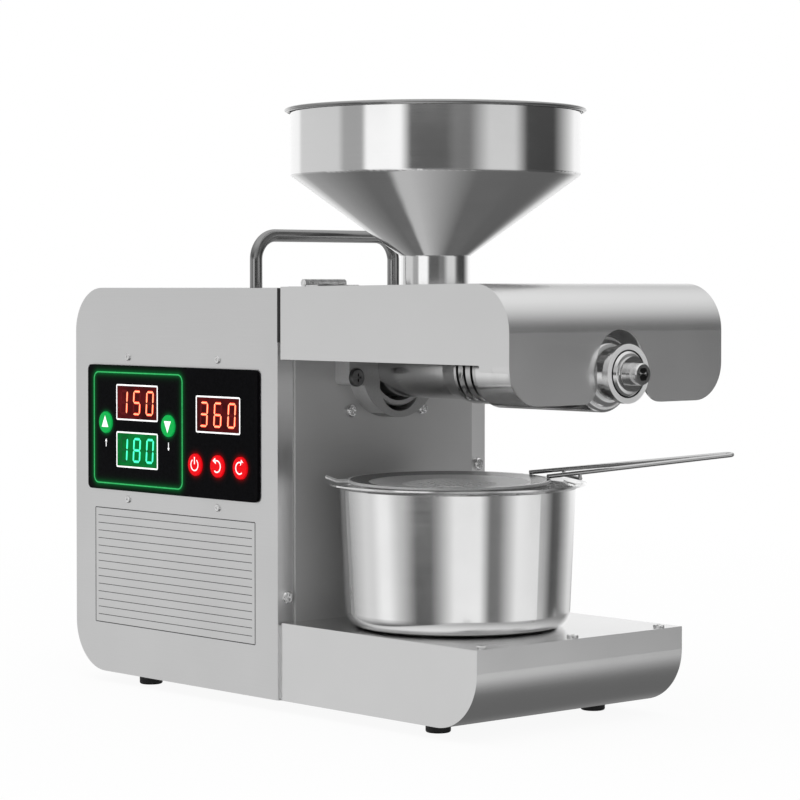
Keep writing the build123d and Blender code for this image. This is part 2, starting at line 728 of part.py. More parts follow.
# Cover
def upper_cover():
    """Hood of bent sheet: top, rolled nose and front skin, with a side sheet at each edge."""
    inner = cover_half - SHEET
    skin_back = COVER_FRONT - SHEET
    low = cover_skin_bottom - COVER_SKIN_CORNER
    high = cover_front_top + COVER_SKIN_CORNER
    behind = COVER_REAR - OVERCUT
    top = outline([
        (COVER_REAR, low, 0),
        (COVER_FRONT, low, 0),
        (COVER_FRONT, cover_front_top, COVER_NOSE_BEND),
        (COVER_REAR, cover_rear_top, 0),
    ])
    inside = outline([
        (behind, low - OVERCUT, 0),
        (skin_back, low - OVERCUT, 0),
        (skin_back, cover_front_top - SHEET, COVER_NOSE_BEND - SHEET),
        (COVER_REAR, cover_rear_top - SHEET, 0),
        (behind, cover_rear_top - SHEET, 0),
    ])
    hood = slab_y(top, (-cover_half, cover_half)) - slab_y(inside, (-inner, inner))
    side_cut = outline([
        (behind, low - OVERCUT, 0),
        (skin_back, low - OVERCUT, 0),
        (skin_back, cover_step_bottom, 0),
        (cover_step_x, cover_step_bottom, COVER_STEP_ROUND[0]),
        (cover_step_x, cover_side_bottom, COVER_STEP_ROUND[1]),
        (behind, cover_side_bottom, 0),
    ])
    hood -= slab_y(side_cut, grown((-cover_half, cover_half), OVERCUT))
    notch_near = NOTCH_Y - NOTCH_HALF_WIDTH
    notch_far = NOTCH_Y + NOTCH_HALF_WIDTH
    skin = outline([
        (-cover_half, high, 0),
        (-cover_half, cover_skin_bottom, COVER_SKIN_CORNER),
        (notch_near, cover_skin_bottom, NOTCH_FLARES[0]),
        (notch_near, notch_arch_z, 0),
        (notch_far, notch_arch_z, 0),
        (notch_far, cover_skin_bottom, NOTCH_FLARES[1]),
        (cover_half, cover_skin_bottom, COVER_SKIN_CORNER),
        (cover_half, high, 0),
    ])
    sheet = Pos(0, (low + high) / 2) * Rectangle(2 * (cover_half + OVERCUT), high - low + OVERCUT)
    waste = sheet - skin
    waste = waste + Pos(NOTCH_Y, notch_arch_z) * Circle(NOTCH_HALF_WIDTH)
    hood -= slab_x(waste, (COVER_FRONT - COVER_NOSE_BEND / 2, COVER_FRONT + OVERCUT))
    hole = (cover_rear_top - 2 * SHEET, cover_front_top + OVERCUT)
    return hood - rod("z", hole, (HOPPER_X, 0), SPOUT_RADIUS + SPOUT_CLEARANCE)


# Hopper
def hopper():
    """Spout, cone and bowl in one spun sheet with a rolled rim."""
    t = HOPPER_SHEET
    slope = math.atan2(CONE_HEIGHT, BOWL_RADIUS - SPOUT_RADIUS)
    shift = t * math.tan((math.pi / 2 - slope) / 2)
    lift = t * math.tan(slope / 2)
    wall = outline([
        (SPOUT_RADIUS, spout_bottom, 0),
        (SPOUT_RADIUS, cone_bottom, HOPPER_ROUNDS[0]),
        (BOWL_RADIUS, cone_top, HOPPER_ROUNDS[1]),
        (BOWL_RADIUS, bowl_top, 0),
        (BOWL_RADIUS - t, bowl_top, 0),
        (BOWL_RADIUS - t, cone_top + shift, HOPPER_ROUNDS[1] - t),
        (SPOUT_RADIUS - t, cone_bottom + lift, HOPPER_ROUNDS[0] + t),
        (SPOUT_RADIUS - t, spout_bottom, 0),
    ])
    roll = Pos(BOWL_RADIUS + (RIM_BEAD - t) / 2, bowl_top) * Ellipse((RIM_BEAD + t) / 2, t * RIM_ROLL_SHARE)
    return turned_z(wall + roll, HOPPER_X, 0)


# Press head and barrel
def head_flange():
    """Round head with two ears, bored for the barrel and relieved below it."""
    ear = rounded((-EAR_HALF_SPAN, EAR_HALF_SPAN), around(press_z, 2 * EAR_HALF_HEIGHT), EAR_CORNER)
    face = ear + Pos(0, press_z) * Circle(HEAD_RADIUS)
    face = face - Pos(0, press_z) * Circle(BARREL_RADIUS)
    face = face - Pos(0, press_z - DRIP_DROP) * Circle(DRIP_RADIUS)
    for y in (-EAR_SCREW_Y, EAR_SCREW_Y):
        face = face - Pos(y, ear_screw_z) * Circle(EAR_HEAD[0] * SHANK_SHARE)
    return slab_x(face, (pad_front, head_front))


def press_barrel():
    """Turned barrel with a feed neck above and drain slots before the drum."""
    rear = gearbox_front + BARREL_SEAT
    body = turned_x([
        (rear, BARREL_BORE), (CAGE_END, BARREL_BORE), (CAGE_END, CAGE_RADIUS),
        (CAGE_START, CAGE_RADIUS), (CAGE_START - TAPER_LENGTH, BARREL_RADIUS), (rear, BARREL_RADIUS),
    ], press_z)
    neck = rod("z", (press_z + BARREL_BORE, neck_top), (HOPPER_X, 0), NECK_RADIUS)
    seat_top = spout_bottom - SEAT_GAP
    neck += rod("z", (seat_top - NECK_SEAT, seat_top), (HOPPER_X, 0), SPOUT_RADIUS)
    neck -= rod("x", (0, CAGE_END), (0, press_z), (BARREL_BORE + BARREL_RADIUS) / 2)
    body += neck
    body -= rod("z", (press_z, neck_top + OVERCUT), (HOPPER_X, 0), NECK_BORE)
    for x in slot_xs:
        across = around(x, 2 * SLOT_WIDTH)
        cut = tube_x(around(x, SLOT_WIDTH), press_z, CAGE_RADIUS + OVERCUT, BARREL_BORE - OVERCUT)
        cut -= block(across, (-DRUM_RADIUS, DRUM_RADIUS), (press_z + BARREL_BORE / 2, press_z + DRUM_RADIUS))
        cut -= block(across, (-SLOT_BRIDGE, SLOT_BRIDGE), (press_z - DRUM_RADIUS, press_z))
        body -= cut
    return body


def cage_drum():
    """Heavy sleeve round the compression end, screwed on the barrel."""
    drum = tube_x((CAGE_END, drum_end), press_z, DRUM_RADIUS, BARREL_BORE)
    circles = drum.edges().filter_by(GeomType.CIRCLE)
    outer = circles.filter_by(lambda edge: edge.radius > BARREL_BORE + OVERCUT)
    return fillet(outer.sort_by(Axis.X)[-1], DRUM_ROUND)


def nose_collar():
    """Outlet collar with a flared neck and a lip; its bore leaves a ring for the cake."""
    flare = DRUM_RADIUS - COLLAR_STEP - COLLAR_NECK
    lip_start = collar_end - COLLAR_LIP
    line = Polyline(
        (drum_end + flare, COLLAR_NECK), (lip_start, COLLAR_NECK), (lip_start, COLLAR_RADIUS),
        (collar_end, COLLAR_RADIUS), (collar_end, COLLAR_BORE), (drum_end, COLLAR_BORE),
        (drum_end, COLLAR_NECK + flare),
    )
    bend = RadiusArc((drum_end, COLLAR_NECK + flare), (drum_end + flare, COLLAR_NECK), flare)
    return Pos(0, 0, press_z) * revolve(make_face([line, bend]), Axis.X)


def barrel_socket():
    """Sleeve that carries the barrel between the gearbox and the bulkhead."""
    wide, thick = SOCKET_FLANGE
    sleeve = tube_x((gearbox_front, socket_front), press_z, SOCKET_RADIUS, BARREL_RADIUS)
    flange_span = (gearbox_front, gearbox_front + thick)
    return sleeve + tube_x(flange_span, press_z, SOCKET_RADIUS + wide, BARREL_RADIUS)


def heater_band():
    """Clamped band heater with its split and clamping ears below."""
    outer = SOCKET_RADIUS + HEATER_THICK
    ear_thick, ear_drop = HEATER_EAR
    band = tube_x(heater_span, press_z, outer, SOCKET_RADIUS)
    ear_zs = (press_z - outer - ear_drop, press_z - SOCKET_RADIUS - HEATER_THICK / 8)
    for side in (-1, 1):
        ear_ys = sorted((side * HEATER_SPLIT, side * (HEATER_SPLIT + ear_thick)))
        band += block(heater_span, ear_ys, ear_zs)
    split_zs = (ear_zs[0] - OVERCUT, press_z - SOCKET_RADIUS + OVERCUT)
    return band - block(grown(heater_span, OVERCUT), (-HEATER_SPLIT, HEATER_SPLIT), split_zs)


def temperature_probe():
    """Bayonet probe that touches the socket from the far side."""
    x = (heater_span[1] + socket_front) / 2
    nut_radius, nut_length = PROBE_NUT
    nut_start = SOCKET_RADIUS + nut_length
    probe = rod("y", (SOCKET_RADIUS, SOCKET_RADIUS + PROBE_LENGTH), (x, press_z), PROBE_RADIUS)
    return probe + rod("y", (nut_start, nut_start + nut_length), (x, press_z), nut_radius)


# Gears
def involute(angle):
    return math.tan(angle) - angle


def gear_face(teeth, module, turn):
    """A spur gear's outline; a tooth is centred at the angle turn, in degrees."""
    pitch = module * teeth / 2
    base = pitch * math.cos(PRESSURE_ANGLE)
    root = pitch - 1.25 * module
    half_tooth = (math.pi / 2 - GEAR_BACKLASH / module) / teeth
    flank = []
    for radius in (max(base, root), pitch, pitch + module):
        away = half_tooth + involute(PRESSURE_ANGLE) - involute(math.acos(min(1.0, base / radius)))
        flank.append((radius, away))
    foot = flank[0][1] * 1.05
    points = []
    for index in range(teeth):
        centre = math.radians(turn) + 2 * math.pi * index / teeth
        rise = [(root, -foot)] + [(radius, -away) for radius, away in flank]
        fall = [(radius, away) for radius, away in reversed(flank)] + [(root, foot)]
        for radius, away in rise + fall:
            place = (radius * math.cos(centre + away), radius * math.sin(centre + away))
            if not points or math.dist(points[-1], place) > 0.01:
                points.append(place)
    return make_face(Polyline(*points, close=True))


def spur_gear(teeth, module, turn, z, span):
    """A gear about the X direction; a turn of 0 points a tooth along +Y."""
    return slab_x(Pos(0, z) * gear_face(teeth, module, turn), span)


def hull_face(grow):
    """The gearbox outline round its three shafts."""
    shrink = GEARBOX_WALL - grow
    circles = [
        Pos(0, press_z) * Circle(case_top_radius - shrink),
        Pos(0, motor_z) * Circle(case_low_radius - shrink),
    ]
    return make_hull([circle.edges()[0] for circle in circles])


def gearbox_half(span, room, axes):
    """One half casting: side wall all round, one end wall, bored for shafts and bolts."""
    case = slab_x(hull_face(GEARBOX_WALL), span)
    for y, z in bolt_places:
        case += rod("x", span, (y, z), BOLT_BOSS)
    case -= slab_x(hull_face(0), room)
    for z, radius in axes:
        case -= rod("x", grown(span, OVERCUT), (0, z), radius)
    for place in bolt_places:
        case -= rod("x", grown(span, OVERCUT), place, BOLT_RADIUS)
    return case


def gearbox_bolts():
    parts = Part()
    nut_radius, nut_height = BOLT_NUT
    nut_span = (gearbox_front, gearbox_front + nut_height)
    for y, z in bolt_places:
        parts += rod("x", (gearbox_rear, gearbox_front), (y, z), BOLT_RADIUS)
        parts += slab_x(Pos(y, z) * RegularPolygon(nut_radius, 6), nut_span)
    return parts


def bearing_rings():
    """Outer race, inner race and shield of each bearing as one ring."""
    parts = Part()
    for z, radius in ((press_z, SHAFT_RADIUS), (lay_z, LAY_SHAFT_RADIUS)):
        for span in (front_bearing, rear_bearing):
            inner = radius + RUNNING_FIT
            parts += tube_x(span, z, radius + BEARING_WALL, inner)
    return parts


def output_shaft():
    """Main shaft with the hub that drives the worm through a hexagon."""
    shaft = rod("x", (gearbox_rear + SHAFT_INSET, hub_end), (0, press_z), SHAFT_RADIUS)
    shaft += rod("x", (front_bearing[1] + SHAFT_INSET / 2, hub_end), (0, press_z), HUB_RADIUS)
    hexagon = RegularPolygon(HEX_DRIVE / 2 + HEX_CLEARANCE, 6, major_radius=False)
    return shaft - slab_x(Pos(0, press_z) * hexagon, (hub_end - HEX_DEPTH, hub_end + OVERCUT))


def output_gear():
    gear = spur_gear(LARGE_TEETH, FINAL_MODULE, 90 + 180 / LARGE_TEETH, press_z, final_gear)
    return gear - rod("x", grown(final_gear, OVERCUT), (0, press_z), SHAFT_RADIUS)


def layshaft():
    """Second shaft, cut with the final pinion."""
    span = grown((gearbox_rear, gearbox_front), -SHAFT_INSET)
    shaft = rod("x", span, (0, lay_z), LAY_SHAFT_RADIUS)
    return shaft + spur_gear(SMALL_TEETH, FINAL_MODULE, 90, lay_z, grown(final_gear, PINION_OVERHANG))


def first_gear():
    gear = spur_gear(LARGE_TEETH, FIRST_MODULE, 90 + 180 / LARGE_TEETH, lay_z, first_gear_span)
    return gear - rod("x", grown(first_gear_span, OVERCUT), (0, lay_z), LAY_SHAFT_RADIUS)


# Motor
def motor_rotor():
    """Rotor stack, shaft and the first pinion."""
    stack_span = grown((motor_rear, motor_front), -END_BELL - STACK_GAP)
    stack = rod("x", stack_span, (0, motor_z), MOTOR_BORE - MOTOR_AIR_GAP)
    pinion_span = grown(first_gear_span, PINION_OVERHANG)
    tail = motor_rear - FAN_DEPTH - SHAFT_TAIL
    shaft = rod("x", (tail, pinion_span[0] - PINION_OVERHANG), (0, motor_z), MOTOR_SHAFT_RADIUS)
    root = FIRST_MODULE * (SMALL_TEETH / 2 - 1.25)
    core = rod("x", (pinion_span[0] - 2 * PINION_OVERHANG, pinion_span[1]), (0, motor_z), root)
    return stack + shaft + core + spur_gear(SMALL_TEETH, FIRST_MODULE, 90, motor_z, pinion_span)


def motor_stator():
    return tube_x((motor_rear + END_BELL, motor_front - END_BELL), motor_z, MOTOR_RADIUS, MOTOR_BORE)


def motor_bells():
    """End bells with the motor's own bearing seats."""
    bore = MOTOR_SHAFT_RADIUS + RUNNING_FIT
    rear = tube_x((motor_rear, motor_rear + END_BELL), motor_z, MOTOR_RADIUS, bore)
    front = tube_x((motor_front - END_BELL, motor_front), motor_z, MOTOR_RADIUS, bore)
    return Part() + rear + front


def motor_saddle():
    """Sheet saddle that stands on the bottom plate and holds the stator from below."""
    ys = around(0, SADDLE_WIDTH)
    parts = Part()
    for x in (motor_rear + SADDLE_INSET, motor_front - SADDLE_INSET - SADDLE_WEB):
        web = block((x, x + SADDLE_WEB), ys, (SHEET, motor_z - SADDLE_TOP_DROP))
        parts += web - rod("x", grown((x, x + SADDLE_WEB), OVERCUT), (0, motor_z), MOTOR_RADIUS)
    foot_xs = (motor_rear + SADDLE_INSET, motor_front - SADDLE_INSET)
    return parts + block(foot_xs, ys, (SHEET, SHEET + SADDLE_FOOT))


def cooling_fan():
    """Radial blades on a hub at the rear end of the motor shaft."""
    front = motor_rear - FAN_GAP
    rear = front - FAN_DEPTH
    fan = tube_x((rear, front), motor_z, FAN_HUB, MOTOR_SHAFT_RADIUS)
    fan += tube_x((front - FAN_SHEET, front), motor_z, FAN_RADIUS, MOTOR_SHAFT_RADIUS)
    for index in range(FAN_BLADES):
        blade = block((rear, front), (FAN_HUB - FAN_SHEET, FAN_RADIUS), around(0, FAN_SHEET))
        fan += Pos(0, 0, motor_z) * Rot(360 / FAN_BLADES * index, 0, 0) * blade
    return fan


# Worm
def press_worm():
    """Tapered screw with one flight, a hexagon tail and a boss with a socket, turned about X."""
    top = BARREL_BORE - WORM_CLEARANCE
    tail = hub_end - HEX_DEPTH + SHAFT_INSET
    collar_start = WORM_START - WORM_FLANGE[0]
    collar_stop = collar_start + WORM_FLANGE[1]
    pin = HEX_DRIVE / 3
    core = turned_x([
        (tail, 0), (tail, pin), (collar_start, pin), (collar_start, top), (collar_stop, top),
        (collar_stop + 2, WORM_REAR_ROOT), (worm_end - WORM_FULL_ROOT, WORM_FRONT_ROOT),
        (worm_end + WORM_SETBACK, NOSE_RADIUS), (nose_shoulder, NOSE_RADIUS), (nose_shoulder, BOSS_RADIUS),
        (nose_tip - BOSS_ROUND, BOSS_RADIUS - BOSS_ROUND / 3),
        (nose_tip, BOSS_RADIUS - BOSS_ROUND), (nose_tip, 0),
    ], 0)
    hexagon = RegularPolygon(HEX_DRIVE / 2, 6, major_radius=False)
    core += slab_x(hexagon, (tail, collar_start + OVERCUT))
    socket = RegularPolygon(HEX_SOCKET / 2, 6, major_radius=False)
    core -= slab_x(socket, (nose_tip - SOCKET_DEPTH, nose_tip + OVERCUT))
    foot = WORM_REAR_ROOT - OVERCUT
    path = Helix(pitch=WORM_PITCH, height=WORM_PITCH, radius=(top + foot) / 2)
    section = Plane(origin=path @ 0, x_dir=(1, 0, 0), z_dir=path % 0) * Rectangle(top - foot, WORM_LAND)
    turn = Rot(0, 90, 0) * sweep(section, path, is_frenet=True)
    for index in range(round((worm_end - WORM_START) / WORM_PITCH)):
        core += Pos(WORM_START + index * WORM_PITCH, 0, 0) * turn
    return Pos(0, 0, press_z) * core


# Controls
def control_fascia():
    """Gloss plate with openings for displays and keys."""
    plate = rounded((panel_rear, panel_front), (panel_bottom, panel_top), PANEL_CORNER)
    for x, z in display_centres:
        plate = plate - Pos(x, z) * Rectangle(DISPLAY_WIDTH, DISPLAY_HEIGHT)
    for x, z in key_places.values():
        plate = plate - Pos(x, z) * Circle(KEY_RADIUS + KEY_CLEARANCE)
    return slab_y(plate, (fascia_front, -half_width))


def display_windows():
    parts = Part()
    for x, z in display_centres:
        parts += block(around(x, DISPLAY_WIDTH), (fascia_front, -half_width), around(z, DISPLAY_HEIGHT))
    return parts


def control_board():
    """Board with display modules, key switches and the four posts that hold it."""
    xs = grown((panel_rear, panel_front), -BOARD_EDGE)
    board = block(xs, (board_y, board_y + BOARD_THICK), grown(panel_screw_zs, BOARD_RIM))
    for x, z in display_centres:
        module_xs = around(x, DISPLAY_WIDTH - 2 * KEY_CLEARANCE)
        board += block(module_xs, (-half_width, board_y), around(z, DISPLAY_HEIGHT - 2 * KEY_CLEARANCE))
    for x, z in key_places.values():
        board += block(around(x, SWITCH_SIZE), (board_y - SWITCH_HEIGHT, board_y), around(z, SWITCH_SIZE))
    for x in panel_screw_xs:
        for z in panel_screw_zs:
            post = rod("y", (-inner_half, board_y), (x, z), BOARD_POST)
            board += post - rod("y", (-half_width, board_y), (x, z), PANEL_HEAD[0] * SHANK_SHARE)
    return board


def control_key(place):
    """Round push key: a low cap on a stem."""
    cap_back = -half_width - KEY_LIFT
    stem_end = board_y - SWITCH_HEIGHT - KEY_TRAVEL - KEY_LIFT
    cap = rod("y", (fascia_front - KEY_PROUD, cap_back), place, KEY_RADIUS)
    cap = fillet(cap.edges().sort_by(Axis.Y)[0], KEY_PROUD * 0.6)
    return cap + rod("y", (cap_back - KEY_LIFT, stem_end), place, KEY_STEM)


def power_board():
    """Drive board on four posts, with heat sink, capacitor and relay."""
    post_radius, post_height = POWER_POST
    top = post_height + BOARD_THICK
    board = block(power_xs, power_ys, (post_height, top))
    sink_xs = (power_xs[0] + POWER_EDGE, power_xs[0] + POWER_EDGE + HEAT_SINK[0])
    sink_ys = (power_ys[0] + POWER_EDGE, power_ys[0] + POWER_EDGE + HEAT_SINK[1])
    board += block(sink_xs, sink_ys, (top, top + HEAT_SINK[2]))
    away = CAPACITOR[0] + POWER_EDGE
    board += rod("z", (top, top + CAPACITOR[1]), (power_xs[1] - away, power_ys[1] - away), CAPACITOR[0])
    relay_xs = (power_xs[1] - POWER_EDGE - RELAY[0], power_xs[1] - POWER_EDGE)
    relay_ys = (power_ys[0] + POWER_EDGE, power_ys[0] + POWER_EDGE + RELAY[1])
    board += block(relay_xs, relay_ys, (top, top + RELAY[2]))
    for x in grown(power_xs, -POWER_EDGE):
        for y in grown(power_ys, -POWER_EDGE):
            board += rod("z", (SHEET, post_height), (x, y), post_radius)
    return board


def power_inlet():
    """Three-pin mains inlet set in the rear sheet."""
    rear = -housing_length
    rim_ys = grown(inlet_ys, INLET_EAR)
    rim_zs = grown(inlet_zs, INLET_RIM)
    body = block((rear - INLET_RIM, rear), rim_ys, rim_zs)
    body += block((rear, rear + INLET_DEPTH), inlet_ys, inlet_zs)
    well = (rear - INLET_RIM - OVERCUT, rear + INLET_WELL)
    body -= block(well, grown(inlet_ys, -INLET_RIM), grown(inlet_zs, -INLET_RIM))
    pin = (rear + INLET_WELL / 2, rear + INLET_WELL + OVERCUT)
    for y, z in INLET_PINS:
        body += block(pin, around(INLET_Y + y, INLET_RIM), around(INLET_Z + z, 2 * INLET_RIM))
    return body


# Pot and strainer
def pot():
    """Deep drawn pot with a flared lip."""
    t = POT_SHEET
    flare_z = pot_rim_z - POT_FLARE
    outer = [
        (0, pot_floor, 0), (POT_BOTTOM_RADIUS, pot_floor, POT_CORNER),
        (pot_top_radius, flare_z, POT_LIP_ROUND),
        (pot_rim_radius, pot_rim_z - t, 0), (pot_rim_radius, pot_rim_z, 0),
    ]
    inner = [
        (pot_top_radius - t, flare_z + t * 0.8, POT_LIP_ROUND + t),
        (POT_BOTTOM_RADIUS - t, pot_floor + t, POT_CORNER - t), (0, pot_floor + t, 0),
    ]
    return turned_z(outline(outer + inner), pot_x, POT_Y)


def in_strainer_place(shape):
    """Put a shape drawn about the strainer's own axis, from its top plane, in its place."""
    lean = Rot(0, 0, STRAINER_HEADING) * Rot(STRAINER_TILT, 0, 0)
    return Pos(strainer_x, strainer_y, strainer_z) * lean * shape


def strainer_bowl():
    """Shallow dish with a turned-down edge, a ledge for the perforated disc and a rest tab."""
    t = STRAINER_SHEET
    knee, fall = STRAINER_KNEE
    edge = STRAINER_RADIUS
    flange = edge - STRAINER_FLANGE
    face = outline([
        (edge, -STRAINER_EDGE, 0), (edge, 0, 0), (flange, 0, 1.0), (knee, -fall + t, 1.5),
        (MESH_RADIUS, -STRAINER_DEPTH + t, 0), (MESH_RADIUS, -STRAINER_DEPTH, 0),
        (knee, -fall, 2.0), (flange, -t, 1.5), (edge - t, -t, 0), (edge - t, -STRAINER_EDGE, 0),
    ])
    low = SEAT_GAP - STRAINER_LIFT
    flat_end = edge + REST_TAB_REACH / 2
    tip = edge + REST_TAB_REACH
    sheet = REST_TAB_SHEET
    tab = make_face(Polyline(
        (-flange, low), (-flat_end, low), (-tip, low + REST_TAB_RISE),
        (-tip, low + REST_TAB_RISE + sheet), (-flat_end, low + sheet), (-flange, low + sheet), close=True,
    ))
    return in_strainer_place(turned_z(face, 0, 0) + slab_y(tab, around(0, REST_TAB_WIDTH)))


def strainer_mesh():
    """Perforated disc, with holes in rings."""
    disc = Sketch() + Circle(MESH_RADIUS)
    holes = [RegularPolygon(MESH_HOLE, 6)]
    for ring in range(1, MESH_RINGS + 1):
        reach = ring * MESH_PITCH
        for index in range(6 * ring):
            angle = 2 * math.pi * index / (6 * ring)
            holes.append(Pos(reach * math.cos(angle), reach * math.sin(angle)) * RegularPolygon(MESH_HOLE, 6))
    disc = disc - holes
    return in_strainer_place(slab_z(disc, (-STRAINER_DEPTH, STRAINER_SHEET - STRAINER_DEPTH)))


def strainer_handle():
    """Two rods from the dish's flange that close into a narrow loop, with a rest on the pot's lip."""
    root_reach = STRAINER_RADIUS - STRAINER_FLANGE / 2
    root = math.sqrt(root_reach ** 2 - ROD_ROOT_SPREAD ** 2)
    height = STRAINER_ROD
    tip_height = height + ROD_RISE
    route = [
        (root, -ROD_ROOT_SPREAD, height), (ROD_REACH, -ROD_TIP_SPREAD, tip_height),
        (ROD_REACH, ROD_TIP_SPREAD, tip_height), (root, ROD_ROOT_SPREAD, height),
    ]
    path = FilletPolyline(*route, radius=ROD_BEND)
    rods = sweep(Plane(origin=route[0], z_dir=path % 0) * Circle(STRAINER_ROD), path)
    bar_x = STRAINER_OFFSET * math.cos(math.radians(ROD_TURN)) + pot_rim_radius - POT_LIP / 2
    share = (bar_x - root) / (ROD_REACH - root)
    bar_y = ROD_ROOT_SPREAD + share * (ROD_TIP_SPREAD - ROD_ROOT_SPREAD)
    bar_z = REST_BAR_RADIUS - REST_BAR_DROP
    rods += rod("y", (-bar_y - REST_BAR_RADIUS, bar_y + REST_BAR_RADIUS), (bar_x, bar_z), REST_BAR_RADIUS)
    for y in (-bar_y, bar_y):
        rods += rod("z", (bar_z, height + share * ROD_RISE), (bar_x, y), REST_BAR_RADIUS)
    return in_strainer_place(Rot(0, 0, ROD_TURN) * rods)


def screws(head, places, direction, shank):
    """Like screws as one group of solids."""
    parts = Part()
    for place in places:
        parts += screw(head, place, direction, shank)
    return parts


def build_all():
    """Every sub-part by its node name."""
    panel_screws = [(x, -half_width, z) for x in panel_screw_xs for z in panel_screw_zs]
    edge_screws = [(0, y, z) for y, z in bulkhead_screw_places]
    base_screws = [(base_screw_x, y, BASE_HEIGHT) for y in base_screw_ys]
    ear_screws = [(head_front, y, ear_screw_z) for y in (-EAR_SCREW_Y, EAR_SCREW_Y)]
    pad_screws = [(pad_front, y, z) for y, z in head_screw_places]
    cover_leaf_z = cover_rear_top + LEAF_LIFT
    front_case = (gearbox_split, gearbox_front)
    rear_case = (gearbox_rear, gearbox_split)
    front_room = (gearbox_split, front_bearing[0])
    rear_room = (rear_bearing[1], gearbox_split)
    nodes = {
        "control_side_panel": control_side_panel(),
        "far_side_panel": side_panel(1),
        "housing_wrap": housing_wrap(),
        "bottom_plate": bottom_plate(),
        "bulkhead": bulkhead(),
        "seam_gasket": seam_gasket(),
        "base_shell": base_shell(),
        "base_top_plate": base_top_plate(),
        "base_screws": screws(BASE_HEAD, base_screws, (0, 0, 1), SHANK_LENGTH),
        "bulkhead_screws": screws(PAN_HEAD, edge_screws, (1, 0, 0), SHANK_LENGTH),
        "head_screws": screws(PAN_HEAD, pad_screws, (1, 0, 0), SHANK_LENGTH),
        "ear_screws": screws(EAR_HEAD, ear_screws, (1, 0, 0), HEAD_THICK + SHANK_LENGTH),
        "panel_screws": screws(PANEL_HEAD, panel_screws, (0, -1, 0), SHANK_LENGTH),
        "feet": feet(),
        "carry_handle": carry_handle(),
        "handle_nuts": handle_nuts(),
        "hinge_fixed_leaves": hinge_half(-1, HOUSING_HEIGHT, 0, HINGE_PIN),
        "hinge_cover_leaves": hinge_half(1, cover_leaf_z, 1, HINGE_PIN + RUNNING_FIT),
        "hinge_pins": hinge_pins(),
        "upper_cover": upper_cover(),
        "hopper": hopper(),
        "head_flange": head_flange(),
        "press_barrel": press_barrel(),
        "cage_drum": cage_drum(),
        "nose_collar": nose_collar(),
        "barrel_socket": barrel_socket(),
        "heater_band": heater_band(),
        "temperature_probe": temperature_probe(),
        "press_worm": press_worm(),
        "output_shaft": output_shaft(),
        "output_gear": output_gear(),
        "layshaft": layshaft(),
        "first_gear": first_gear(),
        "gearbox_front": gearbox_half(front_case, front_room, shaft_holes_front),
        "gearbox_rear": gearbox_half(rear_case, rear_room, shaft_holes_rear),
        "gearbox_bolts": gearbox_bolts(),
        "gearbox_bearings": bearing_rings(),
        "motor_rotor": motor_rotor(),
        "cooling_fan": cooling_fan(),
        "motor_stator": motor_stator(),
        "motor_bells": motor_bells(),
        "motor_saddle": motor_saddle(),
        "control_fascia": control_fascia(),
        "display_windows": display_windows(),
        "control_board": control_board(),
        "power_board": power_board(),
        "power_inlet": power_inlet(),
        "pot": pot(),
        "strainer_bowl": strainer_bowl(),
        "strainer_mesh": strainer_mesh(),
        "strainer_handle": strainer_handle(),
    }
    for name, place in key_places.items():
        nodes[name] = control_key(place)
    return nodes


os.makedirs("parts", exist_ok=True)
for name, shape in build_all().items():
    export_step(shape, f"parts/{name}.step")
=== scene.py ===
import bpy
import math
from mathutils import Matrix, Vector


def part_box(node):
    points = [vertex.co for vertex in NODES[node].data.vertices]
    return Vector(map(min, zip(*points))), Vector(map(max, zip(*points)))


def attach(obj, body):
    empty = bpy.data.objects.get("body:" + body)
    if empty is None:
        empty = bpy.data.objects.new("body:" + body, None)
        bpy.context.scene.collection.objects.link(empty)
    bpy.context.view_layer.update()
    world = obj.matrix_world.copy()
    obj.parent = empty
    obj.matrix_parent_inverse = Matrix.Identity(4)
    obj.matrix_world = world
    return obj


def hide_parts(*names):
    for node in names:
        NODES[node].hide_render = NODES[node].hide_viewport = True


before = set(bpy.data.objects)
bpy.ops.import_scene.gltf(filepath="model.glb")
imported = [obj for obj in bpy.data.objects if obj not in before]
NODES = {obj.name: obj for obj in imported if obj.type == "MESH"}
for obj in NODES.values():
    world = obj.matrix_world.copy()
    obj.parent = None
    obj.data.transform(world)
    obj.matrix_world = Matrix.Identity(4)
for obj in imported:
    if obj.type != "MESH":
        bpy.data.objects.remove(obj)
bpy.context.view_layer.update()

# Dress of a bench-top screw oil press. All sizes are metres, in the frame of the solids.
MM = 0.001

# Camera, fitted to the photograph's view
CAMERA_AZIMUTH = math.radians(48.25)
CAMERA_PITCH = math.radians(1.34)
CAMERA_PLACE = (1.2867, -1.1420, 0.2482)
CAMERA_LENS = 126.15
CAMERA_SHIFT = (0.0095, -0.0634)

# Panel graphics, in millimetres along X and up Z
OUTLINE_X = (-183.5, -91.0)
OUTLINE_Z = (121.0, 191.8)
OUTLINE_CORNER = 4.5
OUTLINE_LINE = 0.75
DISPLAY_SIZE = (42.6, 21.8)
CURRENT_DISPLAY = (-137.75, 173.1)
SETTING_DISPLAY = (-137.75, 143.1)
COUNTER_DISPLAY = (-55.4, 168.3)
DISPLAY_LINE = 0.95
DIGIT_SIZE = (8.2, 16.0)
DIGIT_PITCH = 13.6
DIGIT_SLANT = 0.07
SEGMENT_WIDTH = 1.75
PLATE_X = (-184.2, -21.4)
PLATE_Z = (31.3, 104.8)
PLATE_LINE = 0.55
PLATE_CORNER = 0.6
PLATE_ROWS = 15
PRINT_DEPTH = 0.06
LAYER_LIFT = 0.08

PLATE_INSET = 3.0
RULE_WIDTH = 0.4

